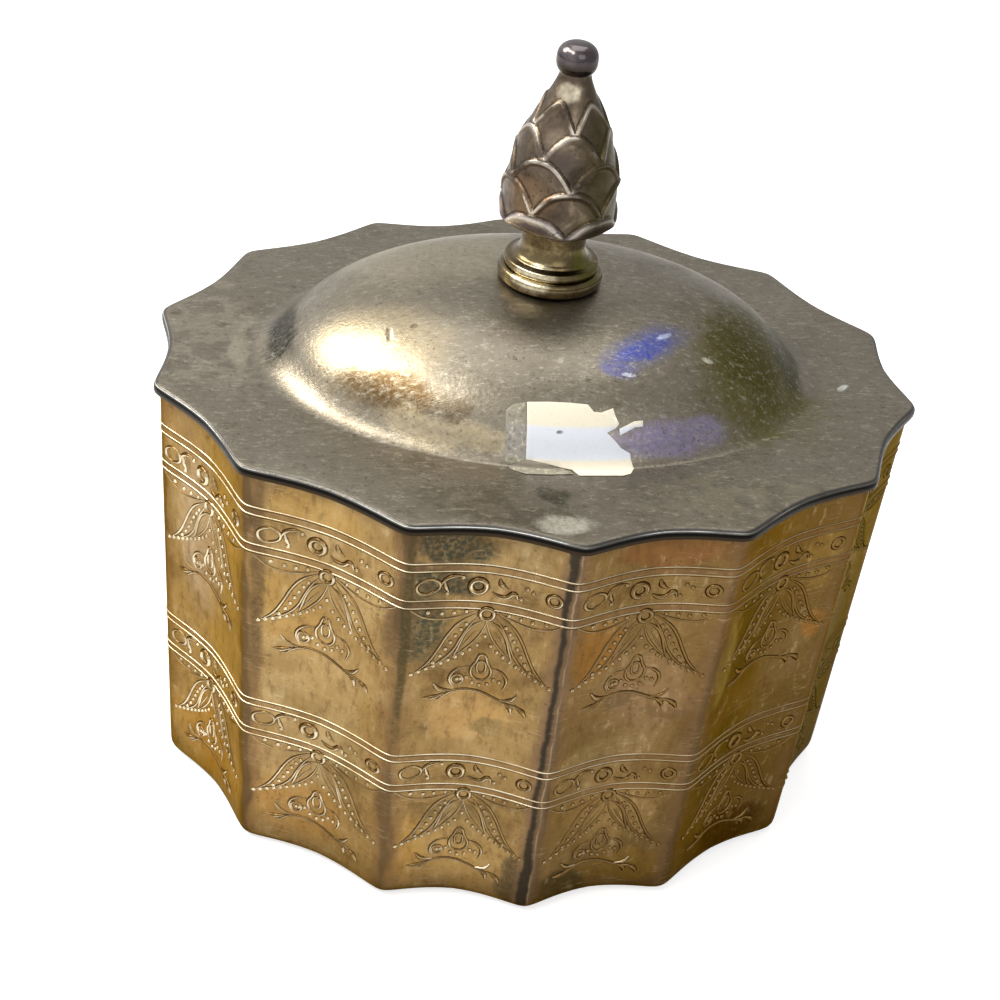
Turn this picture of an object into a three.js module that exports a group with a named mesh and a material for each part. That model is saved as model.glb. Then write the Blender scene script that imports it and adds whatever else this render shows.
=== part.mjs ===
// Silver-plated trinket box: an oval body with fourteen upright hollow flutes, a domed
// lid that lifts straight off, and a cast cone finial with overlapping scales.
// Millimetres, +Z up. The origin is the middle of the base, at the height it stands on.

import * as THREE from "three";
import { mergeVertices } from "three/addons/utils/BufferGeometryUtils.js";

// Sheet metal and fits
const wallSheet = 0.8;
const lidSheet = 0.8;
const solderGap = 0.1;
const lidClearance = 0.25;
const flangeClearance = 0.4;
const plateClearance = 0.3;
const boreClearance = 0.3;

// The oval that the flute edges lie on, at the mouth of the wall
const mouthHalfLength = 67.4;
const mouthHalfWidth = 56.25;

// Flutes: bearings of the edges in one quarter of the oval, from the long end to the front
const edgeBearings = [13.2, 40.6, 66.9, 90];
const fluteDepth = 3.4;
const fluteEdgeRadius = 3;
const stationsPerFlute = 8;

// Wall and base
const wallHeight = 82.6;
const wallDraft = 1;
const footRadius = 3;
const footLedge = 4;
const plateThickness = 0.8;
const cornerSteps = 3;

// Lid rim and dome
const edgeDrop = 1.8;
const edgeRadius = 1;
const domeHalfLength = 46.8;
const domeHalfWidth = 35.4;
const domeRise = 15.7;
const domeCrown = 3.3;
const domeShoulder = 0.7;
const domeFilletFront = 3;
const domeFilletEnd = 4.2;
const domeFootLength = 4.8;
const domeFootWidth = 1.25;
const domeSteps = 6;
const filletSteps = 3;
const seatRadius = 9.4;

// Ring under the lid that drops inside the wall
const flangeSheet = 0.8;
const flangeDepth = 5;

// Finial: a turned foot, and a cast cone with a ball, held by a threaded stud
const studRadius = 2;
const studTail = 1.2;
const studGrip = 9;
const washerRadius = 5.5;
const washerThickness = 1;
const nutAcrossFlats = 7;
const nutHeight = 3.2;
const footHeight = 11.2;
const footTorusRadius = 9.1;
const footTorusHeight = 2.8;
const footBeadRadius = 8.3;
const footBeadHeight = 1.6;
const mouldingSquareness = 2.7;
const footNeckRadius = 5.5;
const footNeckHeight = 3.4;
const torusSteps = 6;
const beadSteps = 4;
const hollowSteps = 3;
const roundSteps = 32;
const boreSteps = 24;

const coneHeight = 25.6;
const coneBelly = 9.6;
const coneTaper = 2.7;
const coneShoulder = 1.45;
const coneUndercut = 0.8;
const coneUndercutHeight = 1.2;
const coneNeckRadius = 2.6;
const ballRadius = 3.45;
const ballHalfHeight = 2.85;
const ballSquareness = 2.5;
const ballSteps = 6;

// Scales of the cone: how many in a row, the rows, the height of their tips and how far
// their edges fall beside them, lower in the first row, how round the edges are from the
// first row to the last, and how far the lip, the root and the face stand out of the cone
const scalesPerRow = 5;
const scaleColumns = 10;
const scaleRows = 5;
const scalePitch = 4.4;
const scaleTip = 4.3;
const scaleDrop = 4;
const lowScaleTip = 3.7;
const lowScaleDrop = 2.9;
const lowScaleRoundness = 2.7;
const highScaleRoundness = 1.9;
const scaleRelief = 0.55;
const scaleStep = 0.25;
const scaleRoot = 0.3;
const scaleFace = 0.6;

// Heights that follow from the sizes above
const lidUnderside = wallHeight + solderGap;
const rimTop = lidUnderside + lidSheet;
const domeTop = rimTop + domeRise;
const footBase = domeTop + solderGap;
const coneBase = footBase + footHeight + solderGap;
const lidOutset = lidClearance + lidSheet;

const silver = new THREE.MeshStandardMaterial({ color: 0x9a9080, roughness: 0.35, metalness: 1 });
const wallSilver = new THREE.MeshStandardMaterial({ color: 0xa98f62, roughness: 0.35, metalness: 1 });
const castSilver = new THREE.MeshStandardMaterial({ color: 0x857a70, roughness: 0.3, metalness: 1 });
const brass = new THREE.MeshStandardMaterial({ color: 0xb08a45, roughness: 0.4, metalness: 1 });
const steel = new THREE.MeshStandardMaterial({ color: 0x9a9c9e, roughness: 0.4, metalness: 1 });

// Bearings of the edges on both sides of each flute, once round the oval from the long end.
function fluteEdges() {
  const pastFront = edgeBearings.slice(0, -1).reverse().map((bearing) => 180 - bearing);
  const half = [...edgeBearings, ...pastFront];
  const round = [...half, ...half.map((bearing) => bearing + 180)];
  return round.map(THREE.MathUtils.degToRad);
}

// How far the hollow of a flute lies inside the oval, at a share u of its width.
function hollowAt(u, width) {
  const softening = (4 * fluteDepth * fluteEdgeRadius) / (width * width);
  const reach = Math.min(u, 1 - u);
  const soft = Math.hypot(reach, softening) - softening;
  const deepest = (Math.hypot(0.5, softening) - softening) * 2;
  return (fluteDepth * 4 * soft * (1 - reach)) / deepest;
}

// One turn round the fluted oval, set out from the mouth of the wall, at a height.
function flutedLoop(outset, height) {
  const a = mouthHalfLength + outset;
  const b = mouthHalfWidth + outset;
  const edges = fluteEdges();
  const loop = [];
  edges.forEach((start, index) => {
    const end = index + 1 < edges.length ? edges[index + 1] : edges[0] + 2 * Math.PI;
    const width = Math.hypot(
      mouthHalfLength * (Math.cos(end) - Math.cos(start)),
      mouthHalfWidth * (Math.sin(end) - Math.sin(start)),
    );
    for (let step = 0; step < stationsPerFlute; step += 1) {
      const u = (1 - Math.cos((Math.PI * step) / stationsPerFlute)) / 2;
      const bearing = THREE.MathUtils.lerp(start, end, u);
      const out = new THREE.Vector2(b * Math.cos(bearing), a * Math.sin(bearing)).normalize();
      const hollow = hollowAt(u, width);
      loop.push(new THREE.Vector3(
        a * Math.cos(bearing) - out.x * hollow,
        b * Math.sin(bearing) - out.y * hollow,
        height,
      ));
    }
  });
  return loop;
}

// The bearings of the points of a fluted loop, on the oval through its edges.
function columnBearings() {
  return flutedLoop(0, 0).map((point) => Math.atan2(point.y / mouthHalfWidth, point.x / mouthHalfLength));
}

// A plain oval loop whose points lie on the same bearings as the fluted ones.
function ovalLoop(halfLength, halfWidth, height) {
  return columnBearings().map((bearing) => {
    return new THREE.Vector3(halfLength * Math.cos(bearing), halfWidth * Math.sin(bearing), height);
  });
}

// A closed body through loops of equally many points. Loops run out along undersides, up
// outer faces and in along tops. A loop of one point is a pole, and without poles the
// last loop joins the first.
function skin(loops) {
  const positions = [];
  const push = (...corners) => corners.forEach((corner) => positions.push(corner.x, corner.y, corner.z));
  const poles = loops[0].length === 1;
  const bands = poles ? loops.length - 1 : loops.length;
  const count = Math.max(...loops.map((loop) => loop.length));
  for (let band = 0; band < bands; band += 1) {
    const lower = loops[band];
    const upper = loops[(band + 1) % loops.length];
    for (let index = 0; index < count; index += 1) {
      const next = (index + 1) % count;
      if (lower.length === 1) push(lower[0], upper[next], upper[index]);
      else if (upper.length === 1) push(lower[index], lower[next], upper[0]);
      else push(lower[index], lower[next], upper[next], lower[index], upper[next], upper[index]);
    }
  }
  const geometry = new THREE.BufferGeometry();
  geometry.setAttribute("position", new THREE.Float32BufferAttribute(positions, 3));
  return mergeVertices(geometry);
}

// The loops moved square to the sheet that they describe, to its other face.
function otherFace(loops, thickness) {
  const count = loops[0].length;
  return loops.map((loop, row) => loop.map((point, index) => {
    const along = loop[(index + 1) % count].clone().sub(loop[(index + count - 1) % count]);
    const before = loops[Math.max(row - 1, 0)][index];
    const after = loops[Math.min(row + 1, loops.length - 1)][index];
    const across = after.clone().sub(before);
    const square = across.cross(along).normalize();
    return point.clone().addScaledVector(square, -thickness);
  }));
}

// A loop shrunk to one point on the axis, where a body closes.
function pole(height) {
  return [new THREE.Vector3(0, 0, height)];
}

// A round loop that starts at the front.
function circleLoop(radius, height, count) {
  return Array.from({ length: count }, (_, index) => {
    const bearing = (2 * Math.PI * index) / count - Math.PI / 2;
    return new THREE.Vector3(radius * Math.cos(bearing), radius * Math.sin(bearing), height);
  });
}

// How far the wall has drawn in from its mouth at a height, both faces alike.
function drawIn(height) {
  return wallDraft * (1 - height / wallHeight);
}

// Fluted wall with draft, turned in under itself as a narrow ledge to stand on.
function makeWall() {
  const corner = (radius, lift) => Array.from({ length: cornerSteps + 1 }, (_, step) => {
    const angle = (Math.PI / 2) * (1 - step / cornerSteps);
    const height = footRadius - radius * Math.sin(angle);
    return flutedLoop(-drawIn(0) - lift - radius * (1 - Math.cos(angle)), height);
  });
  const ledgeEdge = -drawIn(0) - footRadius - footLedge;
  return skin([
    flutedLoop(ledgeEdge, 0),
    ...corner(footRadius, 0),
    flutedLoop(0, wallHeight),
    flutedLoop(-wallSheet, wallHeight),
    ...corner(footRadius - wallSheet, wallSheet).reverse(),
    flutedLoop(ledgeEdge, wallSheet),
  ]);
}

// Flat bottom, laid inside the wall on its ledge.
function makeBasePlate() {
  const edge = -drawIn(0) - footRadius - plateClearance;
  const top = wallSheet + plateThickness;
  return skin([pole(wallSheet), flutedLoop(edge, wallSheet), flutedLoop(edge, top), pole(top)]);
}

// Height of the dome over the rim, at a share of the way from its middle to its edge.
function domeHeight(share) {
  return domeRise * (1 - share ** domeCrown) ** domeShoulder;
}

// How fast the dome falls with that share.
function domeFall(share) {
  const bend = (1 - share ** domeCrown) ** (domeShoulder - 1);
  return domeRise * domeShoulder * domeCrown * share ** (domeCrown - 1) * bend;
}

// The share at which the hollow fillet takes over from the dome, higher at the long ends.
function filletStart(bearing) {
  const height = THREE.MathUtils.lerp(domeFilletFront, domeFilletEnd, Math.cos(bearing) ** 2);
  return (1 - (height / domeRise) ** (1 / domeShoulder)) ** (1 / domeCrown);
}

// A loop of the dome, at a portion of the way from its middle to its fillet.
function domeLoop(portion) {
  return columnBearings().map((bearing) => {
    const share = portion * filletStart(bearing);
    return new THREE.Vector3(
      domeHalfLength * share * Math.cos(bearing),
      domeHalfWidth * share * Math.sin(bearing),
      rimTop + domeHeight(share),
    );
  });
}

// A loop of the fillet, which leaves the dome along its slope and meets the rim level.
function filletLoop(run) {
  const fade = (1 - run) ** 2 * (1 + 2 * run);
  const lean = run * (1 - run) ** 2;
  return columnBearings().map((bearing) => {
    const share = filletStart(bearing);
    const toward = new THREE.Vector2(Math.cos(bearing), Math.sin(bearing));
    const reach = toward.clone().multiply(new THREE.Vector2(domeHalfLength, domeHalfWidth));
    const foot = reach.clone().add(toward.multiply(new THREE.Vector2(domeFootLength, domeFootWidth)));
    const start = reach.clone().multiplyScalar(share);
    const slope = domeFall(share) / reach.length();
    const drop = slope * foot.distanceTo(start) * lean;
    const place = start.lerp(foot, run);
    return new THREE.Vector3(place.x, place.y, rimTop + domeHeight(share) * fade - drop);
  });
}

// Lid pressed from one sheet: a flat seat for the finial, the dome, a hollow fillet at the
// foot of the dome, the flat rim, and the fluted edge turned down over the wall.
function lidLoops() {
  const dome = Array.from({ length: domeSteps }, (_, step) => {
    return domeLoop(Math.sin((Math.PI / 2) * (step + 2) / (domeSteps + 1)));
  });
  const fillet = Array.from({ length: filletSteps }, (_, step) => filletLoop((step + 1) / filletSteps));
  const edge = Array.from({ length: cornerSteps + 1 }, (_, step) => {
    const angle = (Math.PI / 2) * (step / cornerSteps);
    const height = rimTop - edgeRadius * (1 - Math.cos(angle));
    return flutedLoop(lidOutset - edgeRadius * (1 - Math.sin(angle)), height);
  });
  return [
    ovalLoop(studRadius + boreClearance, studRadius + boreClearance, domeTop),
    ovalLoop(seatRadius, seatRadius, domeTop),
    ...dome,
    ...fillet,
    ...edge,
    flutedLoop(lidOutset, rimTop - edgeDrop),
  ];
}

// The underside has every other loop of the upper face, and all those round its edge.
function makeLidShell() {
  const outer = lidLoops();
  const edgeStart = outer.length - cornerSteps - 2;
  const inner = otherFace(outer, lidSheet).filter((_, index) => {
    return index === 0 || index % 2 === 1 || index >= edgeStart;
  });
  return skin([...inner, ...outer.reverse()]);
}

// Ring soldered under the lid, a running fit inside the wall, which keeps the lid in place.
function makeLidFlange() {
  const outer = -wallSheet - flangeClearance;
  const inner = outer - flangeSheet;
  const top = lidUnderside - solderGap;
  const bottom = top - flangeDepth;
  return skin([
    flutedLoop(inner, bottom),
    flutedLoop(outer, bottom),
    flutedLoop(outer, top),
    flutedLoop(inner, top),
  ]);
}

// A turned ring or disc: a closed profile of [radius, height] pairs spun about the axis.
function turned(profile) {
  const points = [...profile, profile[0]].map(([radius, height]) => new THREE.Vector2(radius, height));
  const lathe = new THREE.LatheGeometry(points, roundSteps);
  lathe.rotateX(Math.PI / 2);
  lathe.deleteAttribute("uv");
  lathe.deleteAttribute("normal");
  return mergeVertices(lathe);
}

// A sine or cosine made squarer, which turns a round section into a fuller one.
function squarer(value, squareness) {
  return Math.sign(value) * Math.abs(value) ** (2 / squareness);
}

// Full moulding between two heights, as [radius, height] pairs from bottom to top.
function moulding(radius, bottom, height, steps) {
  const bulge = height / 2;
  return Array.from({ length: steps + 1 }, (_, step) => {
    const angle = Math.PI * (step / steps - 0.5);
    const out = squarer(Math.cos(angle), mouldingSquareness);
    const up = squarer(Math.sin(angle), mouldingSquareness);
    return [radius - bulge + bulge * out, bottom + bulge * (1 + up)];
  });
}

// Turned foot under the cone: a broad torus, a lesser bead, then a hollow neck.
function makeFinialFoot() {
  const bore = studRadius + boreClearance;
  const beadBase = footBase + footTorusHeight;
  const hollowBase = beadBase + footBeadHeight;
  const top = footBase + footHeight;
  const neckBase = top - footNeckHeight;
  const hollowReach = footBeadRadius - footBeadHeight / 2 - footNeckRadius;
  const hollow = Array.from({ length: hollowSteps + 1 }, (_, step) => {
    const angle = (Math.PI / 2) * (step / hollowSteps);
    return [
      footNeckRadius + hollowReach * (1 - Math.sin(angle)),
      neckBase - (neckBase - hollowBase) * Math.cos(angle),
    ];
  });
  return turned([
    [bore, footBase],
    ...moulding(footTorusRadius, footBase, footTorusHeight, torusSteps),
    ...moulding(footBeadRadius, beadBase, footBeadHeight, beadSteps),
    ...hollow,
    [footNeckRadius, top],
    [bore, top],
  ]);
}

// Plain radius of the cone at a height over its base, before the scales stand out of it.
function coneRadius(height) {
  const share = Math.min(height / coneHeight, 1);
  const swell = (1 - share ** coneTaper) ** coneShoulder;
  const under = Math.max(0, 1 - height / coneUndercutHeight);
  return coneNeckRadius + (coneBelly - coneNeckRadius) * swell - coneUndercut * under * under;
}

// Height of the rounded upper edge of a row of scales, at a share of a turn. The tips
// point up, and each row stands half a scale round from the one below.
function scaleEdge(row, turn) {
  const place = turn * scalesPerRow + ((row + 1) % 2) / 2;
  const aside = Math.abs(place - Math.round(place)) * 2;
  const roundness = THREE.MathUtils.lerp(lowScaleRoundness, highScaleRoundness, row / (scaleRows - 1));
  if (row === 0) return lowScaleTip - lowScaleDrop * aside ** roundness;
  return scaleTip + row * scalePitch - scaleDrop * aside ** roundness;
}

// A loop round the cone at a height that changes with the bearing, standing proud of it.
function coneLoop(heightAt, proud) {
  const count = scalesPerRow * scaleColumns;
  return Array.from({ length: count }, (_, index) => {
    const turn = index / count;
    const height = heightAt(turn);
    const plain = coneRadius(height);
    const radius = plain + (proud * scaleRelief * plain) / coneBelly;
    const bearing = 2 * Math.PI * turn - Math.PI / 2;
    return new THREE.Vector3(radius * Math.cos(bearing), radius * Math.sin(bearing), coneBase + height);
  });
}

// One row of scales: out of the notch over the row below, up to the lip, and in again.
function scaleLoops(row) {
  const below = (turn) => (row === 0 ? 0 : scaleEdge(row - 1, turn) + scaleStep);
  const between = (share) => (turn) => THREE.MathUtils.lerp(below(turn), scaleEdge(row, turn), share);
  return [
    coneLoop(between(0), row === 0 ? scaleRoot : 0),
    coneLoop(between(0.3), scaleRoot),
    coneLoop(between(0.75), scaleFace),
    coneLoop(between(1), 1),
  ];
}

// Cast cone: scales from its undercut base to a plain shoulder, a neck and a ball, with
// a blind hole for the stud.
function makeFinialCone() {
  const count = scalesPerRow * scaleColumns;
  const bore = studRadius + boreClearance;
  const ceiling = coneBase + studGrip + boreClearance;
  const rows = Array.from({ length: scaleRows }, (_, row) => scaleLoops(row)).flat();
  const overLast = (turn) => scaleEdge(scaleRows - 1, turn) + scaleStep;
  const shoulder = [0, 0.5, 1].map((share) => {
    return coneLoop((turn) => THREE.MathUtils.lerp(overLast(turn), coneHeight, share), 0);
  });
  const ballOut = (angle) => ballRadius * squarer(Math.sin(angle), ballSquareness);
  const ballUp = (angle) => ballHalfHeight * squarer(Math.cos(angle), ballSquareness);
  const neckAngle = Math.asin((coneNeckRadius / ballRadius) ** (ballSquareness / 2));
  const middle = coneBase + coneHeight + ballUp(neckAngle);
  const ball = Array.from({ length: ballSteps }, (_, step) => {
    const angle = neckAngle + ((Math.PI - neckAngle) * (step + 1)) / (ballSteps + 1);
    return circleLoop(ballOut(angle), middle - ballUp(angle), count);
  });
  return skin([
    pole(ceiling),
    circleLoop(bore, ceiling, count),
    circleLoop(bore, coneBase, count),
    ...rows,
    ...shoulder,
    ...ball,
    pole(middle + ballHalfHeight),
  ]);
}

// Threaded stud from the nut under the dome to the blind hole in the cone.
function makeFinialStud() {
  const bottom = washerTop() - washerThickness - solderGap - nutHeight - studTail;
  const top = coneBase + studGrip;
  const stud = new THREE.CylinderGeometry(studRadius, studRadius, top - bottom, boreSteps);
  stud.rotateX(Math.PI / 2);
  stud.translate(0, 0, (top + bottom) / 2);
  stud.deleteAttribute("uv");
  stud.deleteAttribute("normal");
  return mergeVertices(stud);
}

// The washer lies under the flat seat of the lid, face to face but for the solder gap.
function washerTop() {
  return domeTop - lidSheet - solderGap;
}

// Plain washer that spreads the pull of the nut.
function makeFinialWasher() {
  const bore = studRadius + boreClearance;
  const top = washerTop();
  const bottom = top - washerThickness;
  return turned([[bore, bottom], [washerRadius, bottom], [washerRadius, top], [bore, top]]);
}

// Hexagon nut under the washer.
function makeFinialNut() {
  const corner = nutAcrossFlats / 2 / Math.cos(Math.PI / 6);
  const hexagon = new THREE.Shape(Array.from({ length: 6 }, (_, index) => {
    const bearing = (Math.PI / 3) * index;
    return new THREE.Vector2(corner * Math.cos(bearing), corner * Math.sin(bearing));
  }));
  const bore = new THREE.Path();
  bore.absarc(0, 0, studRadius + boreClearance, 0, 2 * Math.PI, true);
  hexagon.holes.push(bore);
  const nut = new THREE.ExtrudeGeometry(hexagon, {
    depth: nutHeight,
    bevelEnabled: false,
    curveSegments: boreSteps,
  });
  nut.translate(0, 0, washerTop() - washerThickness - solderGap - nutHeight);
  nut.deleteAttribute("uv");
  nut.deleteAttribute("normal");
  return mergeVertices(nut);
}

// One piece of the box under its own name.
function named(name, geometry, material) {
  const mesh = new THREE.Mesh(geometry, material);
  mesh.name = name;
  return mesh;
}

const body = new THREE.Group();
body.add(
  named("body_wall", makeWall(), wallSilver),
  named("base_plate", makeBasePlate(), wallSilver),
);

const lid = new THREE.Group();
lid.add(
  named("lid_shell", makeLidShell(), silver),
  named("lid_flange", makeLidFlange(), silver),
  named("finial_foot", makeFinialFoot(), castSilver),
  named("finial_cone", makeFinialCone(), castSilver),
  named("finial_stud", makeFinialStud(), brass),
  named("finial_washer", makeFinialWasher(), brass),
  named("finial_nut", makeFinialNut(), steel),
);

const trinketBox = new THREE.Group();
trinketBox.add(body, lid);

export default trinketBox;
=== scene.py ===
"""Looks of the silver-plated trinket box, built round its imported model.

Every piece is in metres in the model's own frame: +Z up, the front towards -Y, the
origin in the middle of the base. The CAD nodes stay as they are. The sheet metal, the
casting and the engraving get finer pieces of the same size and place.
"""

import logging
import math
import random
from collections.abc import Iterable, Sequence
from dataclasses import dataclass
from enum import Enum
from functools import cached_property

import bmesh
import bpy
from mathutils import Matrix, Vector
from mathutils.bvhtree import BVHTree

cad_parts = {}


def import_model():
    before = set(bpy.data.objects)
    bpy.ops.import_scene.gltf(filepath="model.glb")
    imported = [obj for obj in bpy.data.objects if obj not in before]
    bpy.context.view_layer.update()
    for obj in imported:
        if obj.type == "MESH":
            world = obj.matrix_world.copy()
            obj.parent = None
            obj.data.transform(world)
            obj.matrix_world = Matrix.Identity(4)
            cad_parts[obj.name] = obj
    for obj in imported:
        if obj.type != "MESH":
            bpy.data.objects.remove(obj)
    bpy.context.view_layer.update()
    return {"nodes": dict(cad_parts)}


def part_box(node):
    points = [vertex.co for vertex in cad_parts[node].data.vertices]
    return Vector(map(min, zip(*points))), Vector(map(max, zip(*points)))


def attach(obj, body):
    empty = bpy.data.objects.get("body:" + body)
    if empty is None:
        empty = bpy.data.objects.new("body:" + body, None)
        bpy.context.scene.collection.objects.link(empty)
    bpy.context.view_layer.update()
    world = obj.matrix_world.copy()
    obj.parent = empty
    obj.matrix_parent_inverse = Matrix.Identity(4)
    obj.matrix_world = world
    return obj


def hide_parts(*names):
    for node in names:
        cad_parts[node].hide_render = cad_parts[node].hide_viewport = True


LOG = logging.getLogger("trinket_box")
MM = 0.001
# Half the oval through the flute edges at the mouth, which is longer than the wall itself
# because no flute edge lies at its ends.
OVAL_HALF_LENGTH = 67.4 * MM

Colour = tuple[float, float, float, float]
Marks = float | Sequence[float]
Pair = tuple[float, float]
Triple = tuple[float, float, float]
Sockets = dict[str, bpy.types.NodeSocket]


class Body(Enum):
    """The bodies of the box that a piece can move with."""

    BOX = "box"
    LID = "lid"


class Slot(Enum):
    """Names of three finishes: the wall's, the lid's and the casting's."""

    WALL = "wall_silver"
    LID = "lid_silver"
    CAST = "cast_silver"


def shade(red: int, green: int, blue: int) -> Colour:
    """Turns a display colour, each part from 0 to 255, into the linear one of shaders."""
    linear = [
        part / 12.92 if part <= 0.04045 else ((part + 0.055) / 1.055) ** 2.4
        for part in (red / 255, green / 255, blue / 255)
    ]
    return (*linear, 1.0)


def lerp(start: float, end: float, share: float) -> float:
    """Returns the value at a share of the way from start to end."""
    return start + (end - start) * share


# Outline


@dataclass(frozen=True)
class FlutedOutline:
    """The oval with hollow flutes that the wall, the lid and the flange share.

    Attributes:
        half_length: Half the oval through the flute edges, along X.
        half_width: Half the oval through the flute edges, along Y.
        edge_bearings: Bearings of the edges in one quarter, in degrees.
        flute_depth: How deep a flute is hollowed.
        edge_radius: How softly two flutes meet.
        stations: Columns across one flute.
    """

    half_length: float
    half_width: float
    edge_bearings: tuple[float, ...] = (13.2, 40.6, 66.9, 90.0)
    flute_depth: float = 3.4 * MM
    edge_radius: float = 3.0 * MM
    stations: int = 24

    @cached_property
    def spans(self) -> list[Pair]:
        """The bearings at the two edges of each flute, once round from the long end."""
        past_front = [180.0 - bearing for bearing in reversed(self.edge_bearings[:-1])]
        half = [*self.edge_bearings, *past_front]
        edges = [math.radians(b) for b in (*half, *(b + 180.0 for b in half))]
        return list(zip(edges, [*edges[1:], edges[0] + math.tau]))

    @cached_property
    def widths(self) -> list[float]:
        """The straight width of each flute at the mouth."""
        return [
            math.hypot(
                self.half_length * (math.cos(end) - math.cos(start)),
                self.half_width * (math.sin(end) - math.sin(start)),
            )
            for start, end in self.spans
        ]

    @cached_property
    def columns(self) -> list[tuple[int, float]]:
        """Flute and share of its width for each column, closer together at the edges."""
        return [
            (flute, (1 - math.cos(math.pi * step / self.stations)) / 2)
            for flute in range(len(self.spans))
            for step in range(self.stations)
        ]

    @cached_property
    def bearings(self) -> list[float]:
        """The bearing of each column on the oval."""
        return [lerp(*self.spans[flute], share) for flute, share in self.columns]

    def hollow(self, flute: int, share: float) -> float:
        """Gives the depth of a flute below the oval.

        Args:
            flute: Which flute, counted from the long end.
            share: Place across it, from 0 to 1.

        Returns:
            The depth, in metres.
        """
        softening = 4 * self.flute_depth * self.edge_radius / self.widths[flute] ** 2
        reach = min(share, 1 - share)
        soft = math.hypot(reach, softening) - softening
        deepest = (math.hypot(0.5, softening) - softening) * 2
        return self.flute_depth * 4 * soft * (1 - reach) / deepest

    def point(self, flute: int, share: float, outset: float, height: float) -> Vector:
        """Places a point on the fluted outline.

        Args:
            flute: Which flute.
            share: Place across it, from 0 to 1.
            outset: How far outside the mouth of the wall.
            height: Height over the base.

        Returns:
            The point.
        """
        start, end = self.spans[flute]
        bearing = lerp(start, end, share)
        along, across = self.half_length + outset, self.half_width + outset
        out = Vector((across * math.cos(bearing), along * math.sin(bearing))).normalized()
        hollow = self.hollow(flute, share)
        return Vector(
            (
                along * math.cos(bearing) - out.x * hollow,
                across * math.sin(bearing) - out.y * hollow,
                height,
            )
        )

    def ring(self, outset: float, height: float) -> list[Vector]:
        """Returns one point for each column at an outset and a height."""
        return [self.point(flute, share, outset, height) for flute, share in self.columns]

    def oval(self, half_length: float, half_width: float, height: float) -> list[Vector]:
        """Returns a plain oval with one point on the bearing of each column."""
        return [
            Vector((half_length * math.cos(bearing), half_width * math.sin(bearing), height))
            for bearing in self.bearings
        ]


# Mesh work

# How much a face of raised work counts for leaning up, and for leaning back along the wall, in the
# mark that gives it a painted highlight or painted shade.
UP_SHARE = 0.8
BACK_SHARE = 0.6
# Edges sharper than this are eased.
SHARP_DEGREES = 50.0


class Skin:
    """A sheet grown ring by ring from one circle with bmesh operators."""

    MARK = "mark"

    def __init__(self, ring: Sequence[Vector], marks: Marks = 0.0) -> None:
        """Starts the sheet.

        Args:
            ring: The points of the first ring.
            marks: One mark for the ring, or one for each of its points.
        """
        self.mesh = bmesh.new()
        self.marks = self.mesh.verts.layers.float.new(self.MARK)
        made = bmesh.ops.create_circle(self.mesh, segments=len(ring), radius=1.0)
        self.rings = [list(made["verts"])]
        self.place(ring, marks)

    def place(self, ring: Sequence[Vector], marks: Marks) -> None:
        """Puts the newest ring's vertices where they belong, with their marks."""
        spread = [marks] * len(ring) if isinstance(marks, (int, float)) else marks
        for vertex, point, mark in zip(self.rings[-1], ring, spread):
            vertex.co = point
            vertex[self.marks] = mark

    def loop_edges(self, ring: Sequence[bmesh.types.BMVert]) -> list[bmesh.types.BMEdge]:
        """Returns the edges round one ring."""
        follow = [*ring[1:], ring[0]]
        return [self.mesh.edges.get(pair) for pair in zip(ring, follow)]

    def grow(self, ring: Sequence[Vector], marks: Marks = 0.0) -> None:
        """Extrudes the newest ring and moves the copy to its place.

        Args:
            ring: The points of the new ring.
            marks: One mark for the ring, or one for each of its points.
        """
        last = self.rings[-1]
        grown = bmesh.ops.extrude_edge_only(self.mesh, edges=self.loop_edges(last))
        fresh = {item for item in grown["geom"] if isinstance(item, bmesh.types.BMVert)}
        self.rings.append(
            [
                next(o for edge in vertex.link_edges if (o := edge.other_vert(vertex)) in fresh)
                for vertex in last
            ]
        )
        self.place(ring, marks)

    def close(self, ring: int) -> None:
        """Draws one ring together at its middle point and merges it there."""
        vertices = self.rings[ring]
        middle = sum((vertex.co for vertex in vertices), Vector()) / len(vertices)
        bmesh.ops.pointmerge(self.mesh, verts=vertices, merge_co=middle)

    def join_ends(self) -> None:
        """Joins the last ring to the first, which closes a section into a ring."""
        edges = self.loop_edges(self.rings[-1]) + self.loop_edges(self.rings[0])
        bmesh.ops.bridge_loops(self.mesh, edges=edges)

    def face_out(self, inside: float) -> None:
        """Turns the faces away from a point inside, at a height on the upright axis."""
        faces = list(self.mesh.faces)
        bmesh.ops.recalc_face_normals(self.mesh, faces=faces)
        middle = Vector((0.0, 0.0, inside))
        outward = sum(f.normal.dot(f.calc_center_median() - middle) * f.calc_area() for f in faces)
        if outward < 0:
            bmesh.ops.reverse_faces(self.mesh, faces=faces)


def mesh_data(mesh: bmesh.types.BMesh, name: str) -> bpy.types.Mesh:
    """Writes a finished bmesh to mesh data of a name and frees it."""
    data = bpy.data.meshes.new(name)
    mesh.to_mesh(data)
    mesh.free()
    return data


def stand(name: str, data: bpy.types.ID) -> bpy.types.Object:
    """Makes an object of a name from its data and links it to the scene."""
    made = bpy.data.objects.new(name, data)
    bpy.context.scene.collection.objects.link(made)
    return made


def piece_of(mesh: bmesh.types.BMesh, name: str) -> bpy.types.Object:
    """Makes a smooth-shaded object of a finished bmesh, which it frees."""
    data = mesh_data(mesh, name)
    data.polygons.foreach_set("use_smooth", [True] * len(data.polygons))
    return stand(name, data)


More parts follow.
